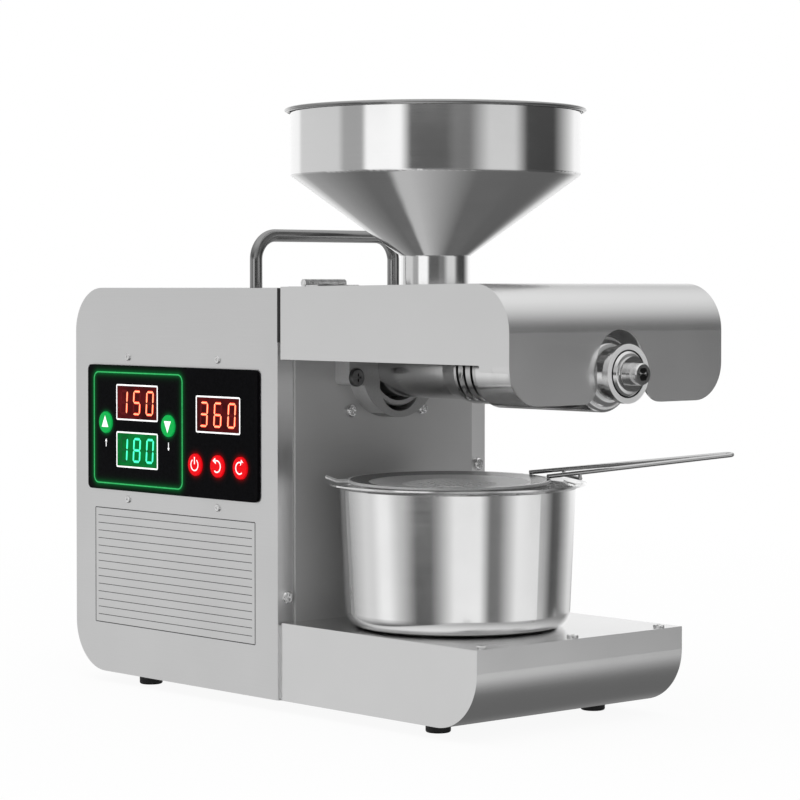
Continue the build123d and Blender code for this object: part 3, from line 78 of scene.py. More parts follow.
# Perforated disc of the strainer
SIEVE_HOLE = 1.5 * MM
SIEVE_PITCH = 4.3 * MM
SIEVE_MARGIN = 2.0 * MM
SIEVE_RADIUS = 28.0 * MM
SIEVE_CROWN = 2.6 * MM
STRAINER_HEADING = math.radians(48.25)
STRAINER_TILT = math.radians(1.0)
# Radii where the painted shade on the dish's sloping wall sets in and ends, in millimetres
DISH_WALL_START = (47.0, 48.0)
DISH_WALL_END = (58.2, 58.8)

# Hopper: height of its bead in millimetres, its tone, the painted shade on its bead and cone, and the cone's
# shading
HOPPER_TONE = 0.84
BEAD_HEIGHT = 2.2
BEAD_PAINTED_SHADE = 0.42
CONE_EASE = -0.07
CONE_PAINTED_SHADE = 0.60

# Worm's socket, and rings about the press axis, in millimetres
SOCKET_REACH = 3.4
SOCKET_LIP = 0.25
NOSE_RING = [(-6.0, 9.7), (-6.0, 12.7), (0.2, 12.7), (1.5, 11.5), (1.9, 9.7)]
SHOULDER_WIDTH = 3.2
SHOULDER_OVERLAP = 0.2
SHOULDER_CHAMFER = 0.8
SHOULDER_BACK = 1.0
SHOULDER_FRONT = 0.6

# Parts of a surface's normal above or below which it counts as facing one way
SIDE_FACING = 0.7
SHADED_CONE_FACING = -0.4
LIT_SIDE_FACING = -0.4
END_FACING = 0.95

# Light strips that stand round the object, as (end angle, level, width of the change after it).
# Angles are in degrees: zero is straight towards the camera, and positive is to the camera's right.
CONE_STRIPS = [
    (-152, 1.05, 12), (-88, 0.44, 50), (-37, 0.19, 6), (6, 0.76, 56), (152, 0.18, 20), (180, 1.05, 0),
]
HIGH_STRIPS = [
    (-135, 1.05, 6), (-80, 0.70, 6), (-58, 0.41, 4), (-24, 1.14, 8), (11, 0.10, 8),
    (34, 0.19, 16), (70, 0.74, 12), (124, 0.06, 36), (180, 1.05, 0),
]
LOW_STRIPS = [
    (-125, 0.18, 40), (-88, 0.74, 12), (-58, 1.02, 32), (-16, 0.06, 24), (26, 1.02, 10),
    (50, 0.16, 20), (94, 0.92, 24), (131, 0.09, 30), (168, 0.72, 20), (180, 0.18, 0),
]
MIDDLE_LEVEL = 0.55
CEILING_LEVEL = 0.98
UNDER_LEVEL = 0.14
# Heights of a direction, from -1 to 1, over which one band of light changes into the next
HIGH_BAND = (-0.115, -0.08)
CONE_BAND = (0.07, 0.13)
MIDDLE_BAND = (0.22, 0.46)
CEILING_BAND = (0.46, 0.80)
UNDER_BAND = (-0.20, -0.60)

# Floor, in metres: its half size, and how far out its shadow fades into white
FLOOR_HALF = 6.0
FLOOR_TONE = 0.9
FLOOR_SHARE = (0.93, 1.0)
FLOOR_FADE = (0.35, 1.2)
LAMP_PLACE = (0.2, -0.3, 1.7)
LAMP_TARGET = (0.0, 0.0, 0.15)
LAMP_SIZE = (1.4, 1.4)
LAMP_POWER = 9.0


# Node helpers
class Shader:
    """A material or world tree with short calls for the nodes used here."""

    def __init__(self, holder):
        holder.use_nodes = True
        self.tree = holder.node_tree
        self.nodes = self.tree.nodes

    def node(self, kind, inputs=None, **settings):
        made = self.nodes.new("ShaderNode" + kind)
        for key, value in settings.items():
            setattr(made, key, value)
        for key, value in (inputs or {}).items():
            if isinstance(value, bpy.types.NodeSocket):
                self.tree.links.new(value, made.inputs[key])
            else:
                made.inputs[key].default_value = value
        return made

    def math(self, operation, first, second=0.0, third=0.0, clamp=False):
        made = self.node("Math", {0: first, 1: second, 2: third}, operation=operation, use_clamp=clamp)
        return made.outputs[0]

    def spread(self, value, low, high, start=0.3, end=0.7):
        """Map a texture's usual range onto a range of values."""
        inputs = {"Value": value, "From Min": start, "From Max": end, "To Min": low, "To Max": high}
        return self.node("MapRange", inputs).outputs["Result"]

    def blend(self, factor, first, second):
        made = self.node("Mix", {"Factor": factor}, data_type="RGBA")
        for index, value in ((6, first), (7, second)):
            if isinstance(value, bpy.types.NodeSocket):
                self.tree.links.new(value, made.inputs[index])
            else:
                made.inputs[index].default_value = (*value, 1.0)
        return made.outputs[2]

    def mix_values(self, factor, first, second):
        return self.node("Mix", {"Factor": factor, 2: first, 3: second}).outputs[0]

    def place(self):
        return self.node("TexCoord").outputs["Object"]

    def parts(self, vector):
        """Outputs X, Y and Z of a vector."""
        return self.node("SeparateXYZ", {0: vector}).outputs

    def facing(self, axis):
        """Part along an axis of the surface's own normal, before any bump."""
        return self.parts(self.node("TexCoord").outputs["Normal"])[axis]

    def reach(self, first, second):
        """Distance that two lengths at right angles give."""
        squares = [self.math("MULTIPLY", side, side) for side in (first, second)]
        return self.math("SQRT", self.math("ADD", *squares))

    def noise(self, scale, detail=3.0, roughness=0.55, vector=None):
        """Noise whose scale may differ along X, Y and Z, in cycles per metre."""
        source = vector or self.place()
        mapped = self.node("Mapping", {"Vector": source, "Scale": scale}).outputs[0]
        inputs = {"Vector": mapped, "Scale": 1.0, "Detail": detail, "Roughness": roughness}
        return self.node("TexNoise", inputs).outputs["Fac"]


def new_material(name):
    material = bpy.data.materials.new(name)
    shader = Shader(material)
    return material, shader, shader.nodes["Principled BSDF"]


def link(shader, output, surface, socket):
    shader.tree.links.new(output, surface.inputs[socket])


def source(surface, socket):
    """What feeds a socket so far, for a finish that builds on it."""
    return surface.inputs[socket].links[0].from_socket


def grey(value, tint=(1.0, 1.0, 1.0)):
    return tuple(value * share for share in tint)


# Metals
def side_mask(shader):
    """One on sheets that face along Y, and zero on the others."""
    return shader.math("GREATER_THAN", shader.math("ABSOLUTE", shader.facing("Y")), SIDE_FACING)


def grain_fac(shader, grain):
    """Brush lines: one direction, or sides and skin told apart by the surface's own normal."""
    lines = [shader.noise(scale, detail=2.0) for scale in grain]
    if len(lines) == 1:
        return lines[0]
    return shader.mix_values(side_mask(shader), lines[1], lines[0])


def brush_direction(shader, way):
    """Direction of the brush lines: round an axis, along Y, or along X on the sides."""
    if way in ("round_x", "round_z"):
        return shader.node("Tangent", direction_type="RADIAL", axis=way[-1].upper()).outputs[0]
    is_side = side_mask(shader)
    along_y = shader.math("SUBTRACT", 1.0, is_side)
    return shader.node("CombineXYZ", {0: is_side, 1: along_y}).outputs[0]


def metal_tree(name, tone, roughness, grain, contrast=0.05, bump=0.03, tint=(1.0, 1.0, 1.0), cloud=0.04,
               way=None, stretch=0.0, body=1.0):
    """Bare metal with brush lines, slow clouds of wear in its gloss and a fine relief."""
    material, shader, surface = new_material(name)
    lines = grain_fac(shader, grain)
    clouds = shader.noise((22.0, 22.0, 22.0), detail=4.0)
    specks = shader.noise((900.0, 900.0, 900.0), detail=2.0)
    dark = grey(tone * (1 - contrast), tint)
    light = grey(tone * (1 + contrast), tint)
    link(shader, shader.blend(shader.spread(lines, 0.0, 1.0), dark, light), surface, "Base Color")
    rough = shader.spread(clouds, roughness - cloud, roughness + cloud)
    rough = shader.math("ADD", rough, shader.spread(lines, -cloud / 2, cloud / 2))
    rough = shader.math("ADD", rough, shader.spread(specks, -cloud / 4, cloud / 4))
    link(shader, rough, surface, "Roughness")
    surface.inputs["Metallic"].default_value = body
    relief = shader.node("Bump", {"Height": lines, "Strength": bump, "Distance": 0.2 * MM})
    link(shader, relief.outputs[0], surface, "Normal")
    if way:
        # Brush lines spread a reflection across themselves
        surface.inputs["Anisotropic"].default_value = stretch
        surface.inputs["Anisotropic Rotation"].default_value = 0.25
        link(shader, brush_direction(shader, way), surface, "Tangent")
    return material, shader, surface


def metal(*values, **settings):
    """A bare metal that stays as it is."""
    return metal_tree(*values, **settings)[0]


def spun_hopper():
    """Spun steel: a bright bowl, a cone turned across its slope with painted shade in its colour, and a
    rolled bead with painted shade in its colour.
    """
    material, shader, surface = metal_tree("spun_hopper", HOPPER_TONE, 0.11, [TURNED_Z], contrast=0.015,
                                           bump=0.008, cloud=0.02, way="round_z", stretch=0.25)
    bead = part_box("hopper")[1].z - BEAD_HEIGHT * MM
    # Painted shade: the cone and the rolled bead are coloured darker than the bowl's steel
    shaded_bead = shader.math("GREATER_THAN", shader.parts(shader.place())["Z"], bead)
    shaded_cone = shader.math("LESS_THAN", shader.facing("Z"), SHADED_CONE_FACING)
    colour = shader.blend(shaded_cone, source(surface, "Base Color"), grey(CONE_PAINTED_SHADE))
    link(shader, shader.blend(shaded_bead, colour, grey(HOPPER_TONE * BEAD_PAINTED_SHADE)), surface, "Base Color")
    # A normal that points down is turned up to just above the level, so the cone mirrors the strips
    normal = shader.parts(source(surface, "Normal"))
    under = shader.math("MINIMUM", normal["Z"], 0.0)
    level = shader.math("ADD", normal["Z"], shader.math("MULTIPLY", under, CONE_EASE - 1.0))
    turned = shader.node("CombineXYZ", {0: normal["X"], 1: normal["Y"], 2: level})
    whole = shader.node("VectorMath", {0: turned.outputs[0]}, operation="NORMALIZE")
    link(shader, whole.outputs[0], surface, "Normal")
    return material


def dish_material():
    """Pressed strainer steel: bright and satin in the dish, glossy on its sloping wall, whose colour has
    painted shade.
    """
    material, shader, surface = metal_tree("pressed_dish", 0.83, 0.26, [SPECKLE], contrast=0.0602, bump=0.02)
    low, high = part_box("strainer_mesh")
    place = shader.parts(shader.place())
    reach = shader.reach(shader.math("SUBTRACT", place["X"], (low.x + high.x) / 2),
                         shader.math("SUBTRACT", place["Y"], (low.y + high.y) / 2))
    wall = shader.math("MULTIPLY", shader.spread(reach, 0.0, 1.0, *[edge * MM for edge in DISH_WALL_START]),
                       shader.spread(reach, 1.0, 0.0, *[edge * MM for edge in DISH_WALL_END]))
    # Painted shade: the sloping wall's colour is darkened to grey 0.20
    link(shader, shader.blend(wall, source(surface, "Base Color"), grey(0.20)), surface, "Base Color")
    link(shader, shader.mix_values(wall, 0.38, 0.22), surface, "Roughness")
    link(shader, shader.mix_values(wall, 0.35, 1.0), surface, "Metallic")
    return material


def flange_material():
    """Blasted steel whose faces towards the control side have painted light: a lighter colour and more metal.
    """
    material, shader, surface = metal_tree("blasted_head", 0.37, 0.46, [SPECKLE], contrast=0.0811, bump=0.06)
    # Painted light: faces that look towards the control side are coloured lighter and made more metallic
    is_lit_side = shader.math("LESS_THAN", shader.facing("Y"), LIT_SIDE_FACING)
    specks = shader.spread(shader.noise(SPECKLE, detail=2.0), 0.0, 1.0)
    edge = shader.blend(specks, grey(0.74), grey(0.80))
    link(shader, shader.blend(is_lit_side, source(surface, "Base Color"), edge), surface, "Base Color")
    link(shader, shader.mix_values(is_lit_side, 0.45, 0.7), surface, "Metallic")
    return material


def faced_steel():
    """Bright turned steel whose flat end faces are cut dull."""
    material, shader, surface = metal_tree("bright_turned", 0.84, 0.17, [TURNED_X], contrast=0.04, cloud=0.03)
    is_face = shader.math("GREATER_THAN", shader.facing("X"), END_FACING)
    link(shader, shader.mix_values(is_face, 1.0, 0.25), surface, "Metallic")
    link(shader, shader.mix_values(is_face, 0.17, 0.42), surface, "Roughness")
    return material


def worm_material():
    """Turned steel whose hexagon socket is coloured near black, rough and not metallic."""
    material, shader, surface = metal_tree("worm_steel", 0.72, 0.16, [TURNED_X], contrast=0.0556, cloud=0.03)
    place = shader.parts(shader.place())
    low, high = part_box("press_worm")
    rise = shader.math("SUBTRACT", place["Z"], (low.z + high.z) / 2)
    is_near = shader.math("LESS_THAN", shader.reach(rise, place["Y"]), SOCKET_REACH * MM)
    is_deep = shader.math("LESS_THAN", place["X"], high.x - SOCKET_LIP * MM)
    is_socket = shader.math("MULTIPLY", is_near, is_deep)
    link(shader, shader.blend(is_socket, source(surface, "Base Color"), grey(0.03)), surface, "Base Color")
    link(shader, shader.mix_values(is_socket, 0.16, 0.9), surface, "Roughness")
    link(shader, shader.math("SUBTRACT", 1.0, is_socket), surface, "Metallic")
    return material


FINE = 1 / (0.35 * MM)
LONG = 1 / 0.045
ALONG_X = (LONG, LONG, FINE)
ALONG_Y = (FINE, LONG, FINE)
TURNED_X = (FINE, LONG, LONG)
TURNED_Z = (LONG, LONG, FINE)
SPECKLE = (900.0, 900.0, 900.0)


def spangled(name, tone):
    """Galvanised sheet: flat crystals of slightly different grey."""
    material, shader, surface = new_material(name)
    cells = shader.node("TexVoronoi", {"Vector": shader.place(), "Scale": 160.0})
    value = shader.node("SeparateColor", {0: cells.outputs["Color"]}).outputs[0]
    colour = shader.blend(value, grey(tone * 0.8), grey(tone * 1.1, (0.98, 1.0, 1.03)))
    link(shader, colour, surface, "Base Color")
    link(shader, shader.spread(value, 0.32, 0.5, 0.0, 1.0), surface, "Roughness")
    surface.inputs["Metallic"].default_value = 1.0
    return material


# Plastics, rubber and paint
def moulded(name, colour, roughness, speckle=0.12, scale=1400.0, bump=0.15, coat=0.0):
    """Plastic, rubber or paint with a fine grain and uneven gloss."""
    material, shader, surface = new_material(name)
    fine = shader.noise((scale, scale, scale), detail=3.0)
    slow = shader.noise((35.0, 35.0, 35.0), detail=3.0)
    dark = tuple(share * (1 - speckle) for share in colour)
    light = tuple(min(1.0, share * (1 + speckle)) for share in colour)
    link(shader, shader.blend(shader.spread(fine, 0.0, 1.0), dark, light), surface, "Base Color")
    link(shader, shader.spread(slow, roughness * 0.85, roughness * 1.15), surface, "Roughness")
    relief = shader.node("Bump", {"Height": fine, "Strength": bump, "Distance": 0.05 * MM})
    link(shader, relief.outputs[0], surface, "Normal")
    surface.inputs["Coat Weight"].default_value = coat
    surface.inputs["Coat Roughness"].default_value = 0.05
    return material


def lit(name, colour, strength, edge=0.8):
    """Printed or lit marking: its own colour with a slightly uneven glow."""
    material, shader, surface = new_material(name)
    uneven = shader.noise((420.0, 420.0, 420.0), detail=2.0)
    dark = tuple(share * edge for share in colour)
    tone = shader.blend(shader.spread(uneven, 0.0, 1.0), dark, colour)
    link(shader, tone, surface, "Base Color")
    link(shader, tone, surface, "Emission Color")
    surface.inputs["Emission Strength"].default_value = strength
    surface.inputs["Roughness"].default_value = 0.35
    surface.inputs["Specular IOR Level"].default_value = 0.06
    return material


def window_material():
    """Tinted display windows: two glow dark red and the lower left one green."""
    material, shader, surface = new_material("display_window")
    place = shader.parts(shader.place())
    low = shader.math("LESS_THAN", place["Z"], (CURRENT_DISPLAY[1] + SETTING_DISPLAY[1]) / 2 * MM)
    left = shader.math("LESS_THAN", place["X"], (CURRENT_DISPLAY[0] + COUNTER_DISPLAY[0]) / 2 * MM)
    is_green = shader.math("MULTIPLY", low, left)
    cloud = shader.spread(shader.noise((60.0, 60.0, 90.0), detail=2.0), 0.0, 1.0)
    red = shader.blend(cloud, (0.018, 0.001, 0.001), (0.085, 0.004, 0.005))
    green = shader.blend(cloud, (0.0, 0.085, 0.012), (0.001, 0.15, 0.028))
    tone = shader.blend(is_green, red, green)
    link(shader, tone, surface, "Base Color")
    link(shader, tone, surface, "Emission Color")
    surface.inputs["Emission Strength"].default_value = 0.6
    surface.inputs["Roughness"].default_value = 0.1
    surface.inputs["Specular IOR Level"].default_value = 0.03
    return material


def painted_halo(shader, distance, reach):
    """Painted glow that falls off from 1 at a distance of zero."""
    near = shader.math("DIVIDE", shader.math("MAXIMUM", distance, 0.0), reach)
    return shader.math("EXPONENT", shader.math("MULTIPLY", near, -1.0))


def outline_distance(shader, across, up):
    """Distance from the centre line of the lit outline, a rectangle with round corners."""
    middle = ((OUTLINE_X[0] + OUTLINE_X[1]) / 2 * MM, (OUTLINE_Z[0] + OUTLINE_Z[1]) / 2 * MM)
    half = ((OUTLINE_X[1] - OUTLINE_X[0]) / 2 * MM, (OUTLINE_Z[1] - OUTLINE_Z[0]) / 2 * MM)
    corner = OUTLINE_CORNER * MM
    sides = []
    for value, centre, reach in ((across, middle[0], half[0]), (up, middle[1], half[1])):
        away = shader.math("ABSOLUTE", shader.math("SUBTRACT", value, centre))
        sides.append(shader.math("SUBTRACT", away, reach - corner))
    beyond = shader.reach(*[shader.math("MAXIMUM", side, 0.0) for side in sides])
    within = shader.math("MINIMUM", shader.math("MAXIMUM", sides[0], sides[1]), 0.0)
    signed = shader.math("SUBTRACT", shader.math("ADD", beyond, within), corner)
    return shader.math("ABSOLUTE", signed)


def fascia_material():
    """Gloss black acrylic with a painted glow round the outline and the keys."""
    material, shader, surface = new_material("gloss_fascia")
    place = shader.parts(shader.place())
    across, up = place["X"], place["Z"]
    dust = shader.noise((700.0, 700.0, 700.0), detail=3.0)
    tone = shader.blend(shader.spread(dust, 0.0, 1.0), (0.0015, 0.0015, 0.002), (0.004, 0.004, 0.005))
    link(shader, tone, surface, "Base Color")
    # Painted glow: emission on the acrylic round the lit outline, with red rings round the red keys and green
    # round the green ones
    green = painted_halo(shader, outline_distance(shader, across, up), 1.1 * MM)
    glow = shader.blend(shader.math("MULTIPLY", green, 0.55), (0.0, 0.0, 0.0), (0.0, 0.30, 0.06))
    for name in KEYS:
        centre, radius = key_circle(name)
        offsets = [shader.math("SUBTRACT", value, middle) for value, middle in zip((across, up), centre)]
        reach = shader.reach(*offsets)
        ring = painted_halo(shader, shader.math("SUBTRACT", reach, radius), 0.8 * MM)
        painted_key_glow = (0.0, 0.22, 0.05) if name in GREEN_KEYS else (0.35, 0.0, 0.0)
        glow = shader.blend(shader.math("MULTIPLY", ring, 0.6), glow, painted_key_glow)
    link(shader, glow, surface, "Emission Color")
    surface.inputs["Emission Strength"].default_value = 1.0
    smudge = shader.noise((18.0, 18.0, 18.0), detail=4.0)
    link(shader, shader.spread(smudge, 0.16, 0.26), surface, "Roughness")
    surface.inputs["Specular IOR Level"].default_value = 0.02
    return material


def circuit_material():
    """Green solder mask with traces that run in short straight steps."""
    material, shader, surface = new_material("circuit")
    cells = shader.node("TexBrick", {"Vector": shader.place(), "Scale": 190.0, "Mortar Size": 0.03})
    cells.inputs["Color1"].default_value = (0.006, 0.10, 0.03, 1.0)
    cells.inputs["Color2"].default_value = (0.010, 0.15, 0.045, 1.0)
    cells.inputs["Mortar"].default_value = (0.03, 0.22, 0.08, 1.0)
    link(shader, cells.outputs["Color"], surface, "Base Color")
    surface.inputs["Roughness"].default_value = 0.35
    return material


# Flat prints and small lit shapes
def flat_mesh(name, loops, depth):
    """A filled flat shape from closed loops of (u, v) points; inner loops become holes."""
    curve = bpy.data.curves.new(name, "CURVE")
    curve.dimensions = "2D"
    curve.fill_mode = "BOTH"
    curve.extrude = depth / 2
    for loop in loops:
        line = curve.splines.new("POLY")
        line.points.add(len(loop) - 1)
        for point, (u, v) in zip(line.points, loop):
            point.co = (u, v, 0.0, 1.0)
        line.use_cyclic_u = True
    holder = bpy.data.objects.new(name + "_curve", curve)
    bpy.context.scene.collection.objects.link(holder)
    mesh = bpy.data.meshes.new_from_object(holder.evaluated_get(bpy.context.evaluated_depsgraph_get()))
    bpy.data.objects.remove(holder)
    bpy.data.curves.remove(curve)
    mesh.name = name
    return mesh


def add_piece(name, mesh, material, body):
    piece = bpy.data.objects.new(name, mesh)
    bpy.context.scene.collection.objects.link(piece)
    mesh.materials.clear()
    mesh.materials.append(material)
    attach(piece, body)
    return piece


def print_on(name, loops, face_y, material, body, lift=0.0, depth=PRINT_DEPTH):
    """A print in millimetres (x, z) that lies on a face looking along -Y."""
    mesh = flat_mesh(name, [[(u * MM, v * MM) for u, v in loop] for loop in loops], depth * MM)
    level = face_y - (lift + depth / 2) * MM
    for vertex in mesh.vertices:
        u, v, w = vertex.co
        vertex.co = (u, level - w, v)
    return add_piece(name, mesh, material, body)


def arc(centre, radius, start, end, steps=24):
    """Points on an arc, with angles in degrees."""
    points = []
    for step in range(steps + 1):
        angle = math.radians(start + (end - start) * step / steps)
        points.append((centre[0] + radius * math.cos(angle), centre[1] + radius * math.sin(angle)))
    return points


def circle(centre, radius, count):
    """Points of a closed circle."""
    return arc(centre, radius, 0, 360 - 360 / count, count - 1)


def rounded_loop(us, vs, corner):
    """A rectangle's loop with round corners."""
    loop = []
    for u, v, start in ((us[1], vs[1], 0), (us[0], vs[1], 90), (us[0], vs[0], 180), (us[1], vs[0], 270)):
        centre = (u - math.copysign(corner, u - us[0] - 1e-9), v - math.copysign(corner, v - vs[0] - 1e-9))
        loop += arc(centre, corner, start, start + 90, 8)
    return loop


def frame_loops(us, vs, corner, line):
    """Outer and inner loop of a line drawn round a rectangle."""
    return [
        rounded_loop((us[0] - half, us[1] + half), (vs[0] - half, vs[1] + half), corner + half)
        for half in (line / 2, -line / 2)
    ]


def bent_line(centre, radius, start, end, width):
    """Closed loop of a thick arc."""
    outer = arc(centre, radius + width / 2, start, end)
    inner = arc(centre, radius - width / 2, end, start)
    return outer + inner


# Seven-segment digits
SEGMENTS = {"0": "abcdef", "1": "bc", "2": "abged", "3": "abgcd", "5": "afgcd", "6": "afgedc", "8": "abcdefg"}


def segment_loop(key, width):
    """One segment of a digit, centred on the digit's middle, with pointed ends."""
    half_w = DIGIT_SIZE[0] / 2 - SEGMENT_WIDTH / 2
    half_h = DIGIT_SIZE[1] / 2 - SEGMENT_WIDTH / 2
    gap = 0.25 + width / 2
    ends = {
        "a": ((-half_w, half_h), (half_w, half_h)),
        "g": ((-half_w, 0), (half_w, 0)),
        "d": ((-half_w, -half_h), (half_w, -half_h)),
        "f": ((-half_w, 0), (-half_w, half_h)),
        "b": ((half_w, 0), (half_w, half_h)),
        "e": ((-half_w, -half_h), (-half_w, 0)),
        "c": ((half_w, -half_h), (half_w, 0)),
    }
    (u0, v0), (u1, v1) = ends[key]
    r = width / 2
    if v0 == v1:
        return [(u0 + gap - r, v0), (u0 + gap, v0 + r), (u1 - gap, v0 + r),
                (u1 - gap + r, v0), (u1 - gap, v0 - r), (u0 + gap, v0 - r)]
    return [(u0, v0 + gap - r), (u0 + r, v0 + gap), (u0 + r, v1 - gap),
            (u0, v1 - gap + r), (u0 - r, v1 - gap), (u0 - r, v0 + gap)]


def digit_loops(centre, text, width):
    """The lit segments of a row of digits."""
    loops = []
    for index, mark in enumerate(text):
        middle = centre[0] + (index - (len(text) - 1) / 2) * DIGIT_PITCH
        for key in SEGMENTS[mark]:
            loop = segment_loop(key, width)
            loops.append([(middle + u + v * DIGIT_SLANT, centre[1] + v) for u, v in loop])
    return loops


# Controls
GREEN_KEYS = ("key_up", "key_down")
KEYS = ("key_up", "key_down", "key_power", "key_press", "key_clear")


def key_circle(name):
    """Centre (x, z) and radius of a key's cap."""
    low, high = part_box(name)
    return ((low.x + high.x) / 2, (low.z + high.z) / 2), (high.x - low.x) / 2


def key_icons(white):
    """Marks on the keys: two triangles, a power ring and two turning arrows."""
    for name in KEYS:
        (x, z), radius = key_circle(name)
        x, z, radius = x / MM, z / MM, radius / MM
        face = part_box(name)[0].y
        size = radius * 0.52
        if name in GREEN_KEYS:
            way = 1 if name == "key_up" else -1
            tip = z + way * size * 1.25
            foot = z - way * size * 0.85
            loops = [[(x, tip), (x + size, foot), (x - size, foot)]]
        elif name == "key_power":
            loops = [bent_line((x, z), size, 125, 415, radius * 0.11)]
            half = radius * 0.06
            top, foot = z + size * 1.35, z + size * 0.1
            loops.append([(x - half, foot), (x + half, foot), (x + half, top), (x - half, top)])
        else:
            way = 1 if name == "key_press" else -1
            turn = bent_line((0, 0), size, -130, 120, radius * 0.12)
            head = size * 0.62
            angle = math.radians(120)
            end = (size * math.cos(angle), size * math.sin(angle))
            corners = ((0.1, 1.0), (-1.0, 0.15), (0.45, -0.75))
            arrow = [(end[0] + head * u, end[1] + head * v) for u, v in corners]
            loops = [[(x + way * u, z + v) for u, v in loop] for loop in (turn, arrow)]
        print_on(name + "_mark", loops, face, white, name)


def arrow_loop(x, z, way, size):
    """A slim arrow that points up or down."""
    corners = ((-0.12, -1.0), (0.12, -1.0), (0.12, 0.3), (0.42, 0.3), (0.0, 1.0), (-0.42, 0.3), (-0.12, 0.3))
    return [(x + size * u, z + way * size * v) for u, v in corners]


def panel_prints():
    """Lit outline, display frames, digits and the small arrows beside the keys."""
    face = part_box("control_fascia")[0].y
    white = lit("white_print", (0.92, 0.92, 0.92), 0.75)
    green = lit("green_line", (0.03, 0.36, 0.10), 0.85)
    outline = frame_loops(OUTLINE_X, OUTLINE_Z, OUTLINE_CORNER, OUTLINE_LINE)
    print_on("lit_outline", outline, face, green, "housing")
    dim_red = lit("segment_off_red", (0.10, 0.003, 0.004), 0.5)
    dim_green = lit("segment_off_green", (0.001, 0.09, 0.02), 0.6)
    red = lit("segment_red", (1.0, 0.06, 0.03), 1.0)
    red_core = lit("segment_red_core", (1.0, 0.42, 0.22), 1.15)
    cyan = lit("segment_green", (0.01, 0.62, 0.30), 0.9)
    cyan_core = lit("segment_green_core", (0.10, 0.95, 0.60), 1.0)
    rows = (
        ("current", CURRENT_DISPLAY, "150", dim_red, red, red_core),
        ("setting", SETTING_DISPLAY, "180", dim_green, cyan, cyan_core),
        ("counter", COUNTER_DISPLAY, "360", dim_red, red, red_core),
    )
    for name, centre, text, off, on, core in rows:
        us = (centre[0] - DISPLAY_SIZE[0] / 2, centre[0] + DISPLAY_SIZE[0] / 2)
        vs = (centre[1] - DISPLAY_SIZE[1] / 2, centre[1] + DISPLAY_SIZE[1] / 2)
        print_on(name + "_frame", frame_loops(us, vs, 0.8, DISPLAY_LINE), face, white, "housing")
        ghost = digit_loops(centre, "8" * len(text), SEGMENT_WIDTH)
        print_on(name + "_segments", ghost, face, off, "housing")
        for layer, (part, width, material) in enumerate((("_digits", 1.0, on), ("_cores", 0.5, core)), 1):
            loops = digit_loops(centre, text, SEGMENT_WIDTH * width)
            print_on(name + part, loops, face, material, "housing", layer * LAYER_LIFT)
    for name, way in (("key_up", 1), ("key_down", -1)):
        (x, z), radius = key_circle(name)
        loop = arrow_loop(x / MM, (z - radius * 1.9) / MM, way, 2.6)
        print_on(name + "_arrow", [loop], face, white, "housing")
    key_icons(white)


def ruled_plate():
    """Thin frame with ruled lines on the control side, where notes can be kept."""
    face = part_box("control_side_panel")[0].y
    ink = moulded("dark_print", (0.035, 0.035, 0.04), 0.5, bump=0.02)
    edge = frame_loops(PLATE_X, PLATE_Z, PLATE_CORNER, PLATE_LINE)
    print_on("plate_frame", edge, face, ink, "housing")
    pitch = (PLATE_Z[1] - PLATE_Z[0]) / PLATE_ROWS
    rules = []
    for row in range(1, PLATE_ROWS):
        z = PLATE_Z[0] + row * pitch
        (left, right), half = (PLATE_X[0] + PLATE_INSET, PLATE_X[1] - PLATE_INSET), RULE_WIDTH / 2
        rules.append([(left, z - half), (right, z - half), (right, z + half), (left, z + half)])
    print_on("plate_rules", rules, face, ink, "housing")


# Strainer
def perforated_disc(material):
    """The strainer's disc with its round holes on a triangular grid, tilted as the strainer is."""
    low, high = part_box("strainer_mesh")
    centre = [(a + b) / 2 for a, b in zip(low, high)]
    heading = (math.cos(STRAINER_HEADING), math.sin(STRAINER_HEADING))
    thick = (high.z - low.z) - 2 * SIEVE_RADIUS * math.sin(STRAINER_TILT)
    loops = [circle((0, 0), SIEVE_RADIUS, 96)]
    reach = SIEVE_RADIUS - SIEVE_MARGIN
    rows = int(reach / (SIEVE_PITCH * math.sqrt(0.75)))
    for row in range(-rows, rows + 1):
        v = row * SIEVE_PITCH * math.sqrt(0.75)
        count = int(reach / SIEVE_PITCH) + 1
        for column in range(-count, count + 1):
            u = (column + (row % 2) / 2) * SIEVE_PITCH
            if math.hypot(u, v) < reach - SIEVE_HOLE:
                loops.append(circle((u, v), SIEVE_HOLE, 10))
    mesh = flat_mesh("sieve_disc", loops, thick)
    for vertex in mesh.vertices:
        u, v, w = vertex.co
        away = v * math.cos(STRAINER_TILT) - w * math.sin(STRAINER_TILT)
        crown = SIEVE_CROWN * (1 - (u * u + v * v) / SIEVE_RADIUS ** 2)
        rise = v * math.sin(STRAINER_TILT) + w * math.cos(STRAINER_TILT) + crown
        x = centre[0] + u * heading[0] - away * heading[1]
        y = centre[1] + u * heading[1] + away * heading[0]
        vertex.co = (x, y, centre[2] + rise)
    piece = add_piece("sieve_disc", mesh, material, "strainer")
    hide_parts("strainer_mesh")


# Outlet
def nose_ring(material):
    """Chamfered shoulder of the worm's nose, which closes most of the outlet round it."""
    low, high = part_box("press_worm")
    axis_z = (low.z + high.z) / 2
    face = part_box("nose_collar")[1].x
    profile = [(face + x * MM, r * MM) for x, r in NOSE_RING]
    mesh = turned_mesh("nose_ring", profile, axis_z)
    add_piece("nose_ring", mesh, material, "press")


